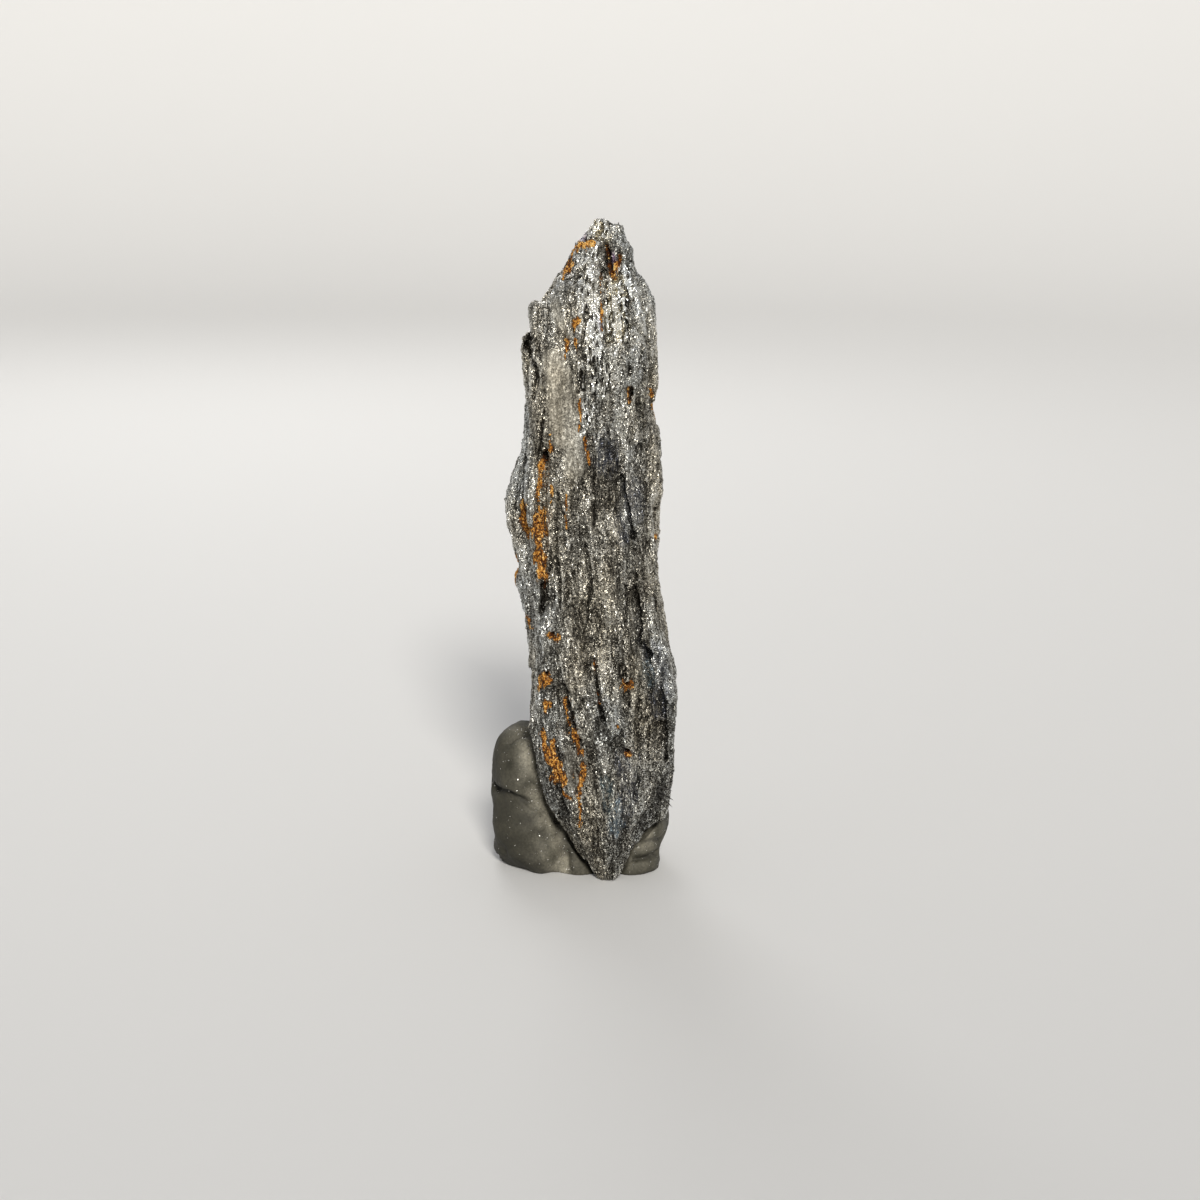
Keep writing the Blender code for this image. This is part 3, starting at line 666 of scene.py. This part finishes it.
def carve(stone):
    """Raises the foliation on the stone, sinks its cracks, and keeps a mask of painted shade from the relief.
    """
    places, normals = read_places(stone.data), read_normals(stone.data)
    grain, facing = grain_places(places), front_share(places)
    ragged = ragged_edge(grain)
    sunk = crack_relief(places, facing, ragged)
    rust = stroke_mask(places, facing, RUST, ragged)
    height = stone_relief(places, grain, facing)
    crumbs = stretched(places, *CRUMBS) * CRUMB_HEIGHT
    height = height * (1 - RUST_FLATTENS * rust) + rust * (crumbs - RUST_DEPTH) - sunk
    share = FOOT_SHARE + (1 - FOOT_SHARE) * smooth_step(*FOOT_RANGE, places[:, 2])
    write_places(stone.data, inside_box(places + normals * (height * share)[:, None]))
    # Painted shade: this mask darkens hollows and cracks and lightens raised parts.
    write_mask(stone.data, "relief_shade", np.clip(RELIEF_SHADE_FLAT - height * RELIEF_SHADE_SLOPE, 0, RELIEF_SHADE_MOST))


def thin_out(piece, triangles):
    """Brings a piece down to about this many triangles."""
    piece.data.calc_loop_triangles()
    decimate = piece.modifiers.new("thin", "DECIMATE")
    decimate.ratio = min(1.0, triangles / len(piece.data.loop_triangles))
    apply_modifiers(piece)


def mark_stone(piece):
    """Writes the stone's stains, tints and tones, with their painted highlights, shade and fall of light, as
    masks on its vertices.
    """
    places = read_places(piece.data)
    grain, facing = grain_places(places), front_share(places)
    ragged, broad = ragged_edge(grain), stretched(grain, *BROAD)
    elsewhere = stretched(grain, *BACK_RUST) + BACK_RUST_RAGGED * ragged
    elsewhere = smooth_step(*BACK_RUST_RANGE, elsewhere) * (1 - facing)
    write_mask(piece.data, "rust", np.maximum(stroke_mask(places, facing, RUST, ragged), elsewhere))
    for name, strokes, seed in TINTS:
        patches = smooth_step(*BACK_TINT_RANGE, stretched(grain, *BACK_TINT, seed))
        far = patches * (1 - facing) * BACK_TINT_SHARE
        near = stroke_mask(places, facing, strokes, ragged * TINT_RAGGED)
        write_mask(piece.data, name, np.maximum(near, far))
    smooth = stroke_mask(places, facing, SMOOTH, broad * SMOOTH_RAGGED)
    # The tone by height carries a painted fall of light, darker towards the point.
    tone = along(TONE_AND_FALLOFF, places[:, 2]) - SMOOTH_DARKENS * smooth
    # The strokes paint highlights on the crest and shade in the slot and the crack.
    for change, half_width, path in TONE_AND_LIGHT_STROKES:
        edge = ragged if half_width < NARROW_STROKE else broad
        tone += change * stroke_mask(places, facing, ((half_width, path),), edge)
    write_mask(piece.data, "tone", tone)
    write_mask(piece.data, "calm", smooth)
    crisp = stroke_mask(places, facing, CRISP, broad)
    cream = stroke_mask(places, facing, CREAM, broad)
    low = 1 - smooth_step(0, LOW_REACH, places[:, 2])
    contrast = 1 + CREAM_CONTRAST * cream + LOW_CONTRAST * low - SMOOTH_CONTRAST * smooth
    write_mask(piece.data, "contrast", contrast)
    write_mask(piece.data, "crisp", CRISP_SHARE * crisp + CREAM_CRISP * cream)
    layer = piece.data.attributes.new("grain", "FLOAT_VECTOR", "POINT")
    layer.data.foreach_set("vector", np.ascontiguousarray(grain, dtype=np.float32).ravel())


def surface_samples(mesh, count, seed):
    """Random places on a mesh, spread evenly by area: places, normals and the generator for more."""
    mesh.calc_loop_triangles()
    corners = np.array([t.vertices for t in mesh.loop_triangles])
    places = read_places(mesh)
    a, b, c = (places[corners[:, k]] for k in range(3))
    cross = np.cross(b - a, c - a)
    area = np.linalg.norm(cross, axis=1)
    chance = np.random.default_rng(seed)
    picked = chance.choice(len(area), count, p=area / area.sum())
    r = np.sqrt(chance.random((count, 1)))
    s = chance.random((count, 1))
    spots = (1 - r) * a[picked] + r * (1 - s) * b[picked] + r * s * c[picked]
    return spots, cross[picked] / area[picked, None], chance


def blade_points(foot, head, outward, width, thickness):
    """Ten points of a thin blade from its foot to its head: two tips, and two rings of four."""
    line = head - foot
    side = line.cross(outward).normalized()
    points = [foot]
    for share, fullness in BLADE_RINGS:
        middle = foot + line * share
        for across, out in ((-0.5, 0), (0, 0.5), (0.5, 0), (0, -0.5)):
            points.append(middle + side * across * width * fullness + outward * out * thickness * fullness)
    points.append(head)
    return points


# The faces of one blade: four at its foot, four along its middle and four at its head.
BLADE_FACES = (
    [(0, 1 + (k + 1) % 4, 1 + k) for k in range(4)]
    + [(1 + k, 1 + (k + 1) % 4, 5 + (k + 1) % 4, 5 + k) for k in range(4)]
    + [(9, 5 + k, 5 + (k + 1) % 4) for k in range(4)]
)


def join_blades(name, blades):
    """One object made of many separate blades."""
    points, faces = [], []
    for blade in blades:
        start = len(points)
        points.extend(blade)
        faces.extend(tuple(start + corner for corner in face) for face in BLADE_FACES)
    data = bpy.data.meshes.new(name)
    data.from_pydata([tuple(p) for p in points], [], faces)
    return link(bpy.data.objects.new(name, data))


def make_blades(stone):
    """Small flakes that lie along the grain all over the stone, each tilted its own way."""
    spots, normals, chance = surface_samples(stone.data, BLADES, BLADE_SEED)
    blades = []
    for spot, normal in zip(spots, normals):
        outward = Vector(normal)
        lean = Vector((chance.normal(0, BLADE_LEAN), chance.normal(0, BLADE_LEAN), 1))
        lean = (lean - outward * lean.dot(outward)).normalized()
        length = chance.uniform(*BLADE_LENGTH) * (1 - LEVEL_SHORTENS * abs(normal[2]))
        width = chance.uniform(*BLADE_WIDTH)
        outward = (outward + Vector(chance.uniform(-BLADE_TILT, BLADE_TILT, 3))).normalized()
        lean = (lean - outward * lean.dot(outward)).normalized()
        foot = Vector(spot) - lean * length / 2
        blades.append(blade_points(foot, foot + lean * length, outward, width, BLADE_THICKNESS))
    piece = join_blades("hematite_blades", blades)
    write_places(piece.data, inside_box(read_places(piece.data)))
    # The blades get a fixed painted relief shade, a little lighter than the flat skin.
    write_mask(piece.data, "relief_shade", np.full(len(piece.data.vertices), BLADE_RELIEF_SHADE))
    return piece


def make_spurs():
    """The few dark blades that stick out of the stone above the right lobe of the putty."""
    blades = []
    for foot, head, width in SPURS:
        foot, head = Vector(foot), Vector(head)
        root = foot - (head - foot) * SPUR_ROOT
        blades.append(blade_points(root, head, Vector((0, -1, 0)), width, width * SPUR_FLATNESS))
    return join_blades("hematite_spurs", blades)


def beside_stone(places):
    """How far to the left of the stone's lower left edge each place of the putty lies."""
    return np.abs(places[:, 0] + EDGE_FOOT + EDGE_SLOPE * places[:, 2])


def painted_putty_light(places):
    """How much painted light lies on each place of the putty: beside the stone and on the right lobe."""
    lobe_x, lobe_z = RIGHT_LOBE
    lobe = np.hypot(places[:, 0] - lobe_x, LOBE_FLATNESS * (places[:, 2] - lobe_z)) - LOBE_RADIUS
    beside = np.minimum(beside_stone(places), lobe)
    painted_light = np.exp(-np.maximum(beside, 0) / PAINTED_LIGHT_REACH) * (PAINTED_LIGHT_SHARE + stretched(places, *PAINTED_LIGHT_CLOUDS))
    painted_light *= smooth_step(*PAINTED_LIGHT_EDGE, PAINTED_LIGHT_FRONT - places[:, 1])
    return np.clip(painted_light, 0, 1)


def press_putty(putty):
    """Gives the putty its hand marks, its creases and a fine skin."""
    places, normals = read_places(putty.data), read_normals(putty.data)
    height = DENT_DEPTH * stretched(places, *DENTS) + BUMP_HEIGHT * stretched(places, *BUMPS)
    line = places[:, 2] + RIDGE_SLANT * places[:, 0] + RIDGE_BEND_REACH * stretched(places, *RIDGE_BEND)
    ridges = np.sin(line * 2 * math.pi / RIDGE_SPACING)
    prints = smooth_step(*PRINT_RANGE, stretched(places, *PRINTS))
    height = height + RIDGE_HEIGHT * ridges * prints
    for half_width, depth, path in PUTTY_CREASES:
        height -= depth * np.exp(-((path_distance(places, path) / half_width) ** 2))
    height *= smooth_step(0.0, PUTTY_FOOT, places[:, 2])
    write_places(putty.data, inside_box(places + normals * height[:, None]))
    # Painted shade: this mask darkens the creases and dents.
    write_mask(putty.data, "relief_shade", np.clip(PUTTY_RELIEF_SHADE_FLAT - height, 0, 1))
    # Painted light: lighter putty beside the stone and on the right lobe.
    write_mask(putty.data, "painted_light", painted_putty_light(places))


def make_flakes(putty):
    """Bright flakes of the stone, stuck in the putty, most of them close to the stone."""
    spots, normals, chance = surface_samples(putty.data, FLAKES * FLAKE_TRIES, FLAKE_SEED)
    blades = []
    for spot, normal, beside in zip(spots, normals, beside_stone(spots)):
        share = math.exp(-beside / FLAKE_REACH)
        share += LOBE_FLAKES * math.exp(-abs(spot[0] - RIGHT_LOBE[0]) / LOBE_REACH)
        share = FLAKES_ANYWHERE + share * (spot[1] < 0)
        if normal[2] < UNDERSIDE or chance.random() > share or len(blades) >= FLAKES:
            continue
        outward = Vector(normal)
        turn = Vector(chance.normal(0, 1, 3))
        turn = (turn - outward * turn.dot(outward)).normalized()
        half = chance.uniform(*FLAKE_HALF)
        foot = Vector(spot) - turn * half
        head = Vector(spot) + turn * half + outward * FLAKE_LIFT
        blades.append(blade_points(foot, head, outward, half * FLAKE_WIDTH, FLAKE_THICKNESS))
    piece = join_blades("putty_flakes", blades)
    write_places(piece.data, inside_box(read_places(piece.data)))
    return piece


def rgb(colour):
    return (*colour, 1.0)


class Nodes:
    """Short ways to add and join shader nodes."""

    def __init__(self, name):
        self.material = bpy.data.materials.new(name)
        self.material.use_nodes = True
        self.tree = self.material.node_tree
        self.shader = self.tree.nodes["Principled BSDF"]

    def put(self, socket, value):
        if isinstance(value, bpy.types.NodeSocket):
            self.tree.links.new(value, socket)
        else:
            socket.default_value = value

    def set(self, **inputs):
        for name, value in inputs.items():
            self.put(self.shader.inputs[name.replace("_", " ")], value)

    def attribute(self, name, output="Fac"):
        node = self.tree.nodes.new("ShaderNodeAttribute")
        node.attribute_name = name
        return node.outputs[output]

    def place(self):
        return self.tree.nodes.new("ShaderNodeTexCoord").outputs["Object"]

    def scaled(self, vector, scale):
        node = self.tree.nodes.new("ShaderNodeVectorMath")
        node.operation = "MULTIPLY"
        self.put(node.inputs[0], vector)
        node.inputs[1].default_value = scale
        return node.outputs[0]

    def vector(self, operation, first, second=None, factor=None):
        node = self.tree.nodes.new("ShaderNodeVectorMath")
        node.operation = operation
        self.put(node.inputs[0], first)
        if second is not None:
            self.put(node.inputs[1], second)
        if factor is not None:
            self.put(node.inputs["Scale"], factor)
        return node.outputs[0]

    def noise(self, vector, scale, detail, roughness=0.5):
        node = self.tree.nodes.new("ShaderNodeTexNoise")
        self.put(node.inputs["Vector"], vector)
        node.inputs["Scale"].default_value = scale
        node.inputs["Detail"].default_value = detail
        node.inputs["Roughness"].default_value = roughness
        return node.outputs["Fac"]

    def cells(self, vector, scale):
        node = self.tree.nodes.new("ShaderNodeTexVoronoi")
        self.put(node.inputs["Vector"], vector)
        node.inputs["Scale"].default_value = scale
        return node.outputs

    def math(self, operation, first, second, clamp=False):
        node = self.tree.nodes.new("ShaderNodeMath")
        node.operation = operation
        node.use_clamp = clamp
        self.put(node.inputs[0], first)
        self.put(node.inputs[1], second)
        return node.outputs[0]

    def line(self, value, slope, offset):
        """The value times a slope, plus an offset."""
        node = self.tree.nodes.new("ShaderNodeMath")
        node.operation = "MULTIPLY_ADD"
        self.put(node.inputs[0], value)
        node.inputs[1].default_value = slope
        node.inputs[2].default_value = offset
        return node.outputs[0]

    def total(self, *terms):
        """The sum of all terms."""
        whole = terms[0]
        for term in terms[1:]:
            whole = self.math("ADD", whole, term)
        return whole

    def ramp(self, value, *stops):
        node = self.tree.nodes.new("ShaderNodeValToRGB")
        self.put(node.inputs["Fac"], value)
        elements = node.color_ramp.elements
        while len(elements) < len(stops):
            elements.new(0.5)
        for element, (position, colour) in zip(elements, stops):
            element.position = position
            element.color = rgb(colour)
        return node.outputs["Color"]

    def mix(self, factor, first, second, blend="MIX"):
        """A colour between two colours. The node's colour sockets share their names, so they go by number."""
        node = self.tree.nodes.new("ShaderNodeMix")
        node.data_type = "RGBA"
        node.blend_type = blend
        self.put(node.inputs["Factor"], factor)
        self.put(node.inputs[6], first)
        self.put(node.inputs[7], second)
        return node.outputs[2]

    def bump(self, height, distance, strength):
        node = self.tree.nodes.new("ShaderNodeBump")
        node.inputs["Strength"].default_value = strength
        node.inputs["Distance"].default_value = distance * MM
        self.put(node.inputs["Height"], height)
        return node.outputs["Normal"]


def metal_colour(m, grain, large, small, fibres):
    """Dark and bright metal, from the flakes, the fibres and the stone's tones, with painted shade from the
    relief, painted highlights and a painted fall of light from the tones, and its faint tarnish.
    """
    broad = m.noise(m.scaled(grain, BROAD_BANDS), 1.0, detail=3.0)
    shade = m.total(
        m.line(large["Color"], *LARGE_SHADE), m.line(small["Color"], *SMALL_SHADE),
        m.line(fibres, *FIBRE_SHADE),
    )
    shade = m.math("MULTIPLY", shade, m.attribute("contrast"))
    plates = m.cells(m.scaled(grain, METAL_PLATES), 1.0)
    crisp = m.math("MULTIPLY", m.line(plates["Color"], *PLATE_SHADE), m.attribute("crisp"))
    # Painted light and shade: the relief shade mask darkens hollows and lightens raised parts, and the tone
    # carries painted highlights and a painted fall of light.
    shade = m.total(
        shade, crisp, m.line(broad, *BROAD_SHADE),
        m.line(m.attribute("tone"), *TONE_SHADE), m.line(m.attribute("relief_shade"), *PAINTED_RELIEF_SHADE),
    )
    warmth = m.noise(m.scaled(grain, WARM_BANDS), 1.0, detail=2.0)
    metal = m.mix(1.0, m.ramp(shade, *METAL_COLOURS), m.ramp(warmth, *WARM_OR_COOL), "MULTIPLY")
    tarnish = m.noise(m.scaled(grain, TARNISH_PATCHES), 1.0, detail=3.0, roughness=0.7)
    patchy = m.math("MULTIPLY", m.line(tarnish, *TARNISH_SHARE), 1.0, clamp=True)
    for mask, tint, strength in TARNISH:
        share = m.math("MULTIPLY", m.attribute(mask), m.math("MULTIPLY", patchy, strength), clamp=True)
        metal = m.mix(share, metal, rgb(tint))
    return metal


def stone_material(name):
    """Foliated hematite: dark and bright metallic flakes along the grain, rust and faint tarnish."""
    m = Nodes(name)
    grain = m.attribute("grain", "Vector")
    large = m.cells(m.scaled(grain, LARGE_FLAKES), 1.0)
    small = m.cells(m.scaled(grain, SMALL_FLAKES), 1.0)
    fibres = m.noise(m.scaled(grain, METAL_FIBRES), 1.0, detail=4.0, roughness=0.6)
    metal = metal_colour(m, grain, large, small, fibres)

    crumbs = m.cells(m.scaled(grain, RUST_CRUMBS), 1.0)
    speckle = m.noise(m.scaled(grain, RUST_SPECKLE), 1.0, detail=4.0, roughness=0.75)
    gaps = m.total(m.line(speckle, *SPECKLE_GAPS), m.line(crumbs["Color"], *CRUMB_GAPS))
    rust_share = m.math("SUBTRACT", m.line(m.attribute("rust"), RUST_FULLNESS, 0.0), gaps)
    rust_share = m.math("MULTIPLY", rust_share, RUST_SHARPNESS, clamp=True)
    # The relief shade mask paints shade on the rust too.
    rust_tone = m.total(
        m.line(small["Color"], *RUST_BY_FLAKE), m.line(speckle, *RUST_BY_SPECKLE),
        m.line(m.attribute("tone"), *RUST_BY_TONE), m.line(m.attribute("relief_shade"), *RUST_BY_RELIEF_SHADE),
    )
    under_rust = m.math("MULTIPLY", m.attribute("rust"), STAIN_SHARE, clamp=True)
    colour = m.mix(rust_share, m.mix(under_rust, metal, rgb(STAIN)), m.ramp(rust_tone, *RUST_COLOURS))

    wide_tilt = m.vector("SUBTRACT", large["Color"], TILT_MIDDLE)
    fine_tilt = m.vector("SUBTRACT", small["Color"], TILT_MIDDLE)
    wide_tilt = m.vector("SCALE", wide_tilt, factor=WIDE_TILT)
    tilt = m.vector("ADD", wide_tilt, m.vector("SCALE", fine_tilt, factor=FINE_TILT))
    flaky = m.line(m.math("MAXIMUM", rust_share, m.attribute("calm")), *FLAKY_SHARE)
    crumb_height = m.math("MULTIPLY", crumbs["Distance"], m.math("MULTIPLY", rust_share, CRUMB_BUMP))
    height = m.total(fibres, m.math("MULTIPLY", large["Distance"], FLAKE_BUMP), crumb_height)
    normal = m.bump(height, distance=0.25, strength=0.7)
    normal = m.vector("NORMALIZE", m.vector("ADD", normal, m.vector("SCALE", tilt, factor=flaky)))

    roughness = m.math("MULTIPLY", rust_share, RUST_ROUGHNESS)
    roughness = m.math("MAXIMUM", m.line(small["Color"], *FLAKE_ROUGHNESS), roughness)
    roughness = m.math("MAXIMUM", roughness, m.math("MULTIPLY", m.attribute("calm"), SMOOTH_ROUGHNESS))
    metallic = m.line(rust_share, -METALLIC, METALLIC)
    m.set(Base_Color=colour, Metallic=metallic, Roughness=roughness, Normal=normal)
    m.set(Specular_IOR_Level=0.25)
    return m.material


def spur_material():
    """Near-black blades with a dull metallic edge."""
    m = Nodes("dark_blades")
    tone = m.noise(m.place(), SPUR_GRAIN, detail=3.0)
    m.set(Base_Color=m.ramp(tone, *SPUR_COLOURS), Metallic=0.6)
    m.set(Roughness=m.math("MULTIPLY", tone, 0.9))
    return m.material


def putty_material():
    """Matt grey-green putty, with painted shade in its creases, and painted light beside the stone and on its
    right lobe.
    """
    m = Nodes("display_putty_skin")
    place = m.place()
    blotch = m.noise(place, PUTTY_BLOTCH, detail=4.0, roughness=0.6)
    grit = m.noise(place, PUTTY_GRIT, detail=3.0, roughness=0.7)
    shade = m.total(m.math("MULTIPLY", blotch, BLOTCH_SHADE), m.math("MULTIPLY", grit, GRIT_SHADE))
    # Painted shade in the creases and dents.
    shade = m.math("SUBTRACT", shade, m.math("MULTIPLY", m.attribute("relief_shade"), PAINTED_CREASE_SHADE))
    # Painted light beside the stone and on the right lobe.
    lit_share = m.math("MULTIPLY", m.attribute("painted_light"), m.line(grit, *PAINTED_LIGHT_BY_GRIT), clamp=True)
    colour = m.mix(lit_share, m.ramp(shade, *PUTTY_COLOURS), rgb(PAINTED_LIGHT_COLOUR))
    speck = m.math("LESS_THAN", m.cells(place, SPECK_GRAIN)["Distance"], SPECK_SIZE)
    colour = m.mix(m.math("MULTIPLY", speck, SPECK_SHARE), colour, rgb(SPECK_COLOUR))
    height = m.total(m.math("MULTIPLY", grit, GRIT_BUMP), blotch)
    normal = m.bump(height, distance=0.12, strength=0.7)
    m.set(Base_Color=colour, Roughness=m.line(grit, *PUTTY_ROUGHNESS), Normal=normal)
    m.set(Specular_IOR_Level=0.3)
    return m.material


def flake_material():
    """Loose bright flakes."""
    m = Nodes("loose_flakes")
    tone = m.noise(m.place(), LOOSE_GRAIN, detail=1.0)
    m.set(Base_Color=m.ramp(tone, *LOOSE_COLOURS), Metallic=0.9)
    m.set(Roughness=m.math("MULTIPLY", tone, 0.6))
    return m.material


def dress(piece, material):
    """Brings a finished piece to metres, and gives it its material and its body."""
    write_places(piece.data, read_places(piece.data) * MM)
    piece.data.materials.clear()
    piece.data.materials.append(material)
    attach(piece, "root")


def make_stone():
    stone = fine_copy("hematite_splinter", "hematite_stone", STONE_VOXEL, STONE_SMOOTHING)
    carve(stone)
    thin_out(stone, STONE_TRIANGLES)
    stone.data.shade_smooth()
    mark_stone(stone)
    blades = make_blades(stone)
    mark_stone(blades)
    material = stone_material("foliated_hematite")
    dress(blades, material)
    dress(stone, material)
    dress(make_spurs(), spur_material())
    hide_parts("hematite_splinter")


def make_putty():
    putty = fine_copy("putty_lump", "putty_skin", PUTTY_VOXEL, PUTTY_SMOOTHING)
    press_putty(putty)
    putty.data.shade_smooth()
    flakes = make_flakes(putty)
    dress(putty, putty_material())
    dress(flakes, flake_material())
    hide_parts("putty_lump")


def make_floor():
    """A pale round floor that sweeps up far away, all the way round."""
    profile = [(0.0, 0.0), (FLOOR_RADIUS, 0.0)]
    for step in range(1, SWEEP_STEPS + 1):
        turn = math.pi / 2 * step / SWEEP_STEPS
        profile.append((FLOOR_RADIUS + SWEEP * math.sin(turn), SWEEP * (1 - math.cos(turn))))
    mesh = bmesh.new()
    points = [mesh.verts.new((x, 0, z)) for x, z in profile]
    edges = [mesh.edges.new(pair) for pair in zip(points, points[1:])]
    bmesh.ops.spin(
        mesh, geom=points + edges, cent=(0, 0, 0), axis=(0, 0, 1), angle=2 * math.pi, steps=FLOOR_SIDES
    )
    bmesh.ops.remove_doubles(mesh, verts=mesh.verts, dist=FLOOR_MERGE)
    data = bpy.data.meshes.new("floor")
    mesh.to_mesh(data)
    mesh.free()
    data.shade_smooth()
    floor = link(bpy.data.objects.new("floor", data))
    m = Nodes("pale_floor")
    m.set(Base_Color=rgb(FLOOR_COLOUR), Roughness=0.7)
    floor.data.materials.append(m.material)


def add_light(name, place, target, size, power, colour):
    """A round soft lamp that looks at its target."""
    data = bpy.data.lights.new(name, "AREA")
    data.shape = "DISK"
    data.size = size * MM
    data.energy = power
    data.color = colour
    light = link(bpy.data.objects.new(name, data))
    light.location = Vector(place) * MM
    light.rotation_euler = (Vector(target) - Vector(place)).to_track_quat("-Z", "Y").to_euler()


def add_key():
    """A large far lamp, whose light is even over the whole floor."""
    data = bpy.data.lights.new("key", "SUN")
    data.energy = KEY_STRENGTH
    data.angle = math.radians(KEY_ANGLE)
    data.color = KEY_COLOUR
    light = link(bpy.data.objects.new("key", data))
    light.rotation_euler = (-Vector(KEY_FROM)).to_track_quat("-Z", "Y").to_euler()


def add_world():
    world = bpy.data.worlds.new("studio")
    world.use_nodes = True
    background = world.node_tree.nodes["Background"]
    background.inputs["Color"].default_value = rgb(SKY_COLOUR)
    background.inputs["Strength"].default_value = SKY_STRENGTH
    bpy.context.scene.world = world


def add_camera():
    data = bpy.data.cameras.new("camera")
    data.lens = CAMERA_LENS
    data.sensor_width = SENSOR
    data.clip_start = CAMERA_NEAR
    camera = link(bpy.data.objects.new("camera", data))
    pitch = Matrix.Rotation(math.radians(90 - CAMERA_PITCH), 4, "X")
    roll = Matrix.Rotation(math.radians(CAMERA_ROLL), 4, "Z")
    camera.matrix_world = Matrix.Translation(Vector(CAMERA_PLACE) * MM) @ (pitch @ roll)
    bpy.context.scene.camera = camera


make_stone()
make_putty()
make_floor()
add_world()
add_key()
for lamp in LAMPS:
    add_light(*lamp)
add_camera()
bpy.context.scene.view_settings.view_transform = "Standard"
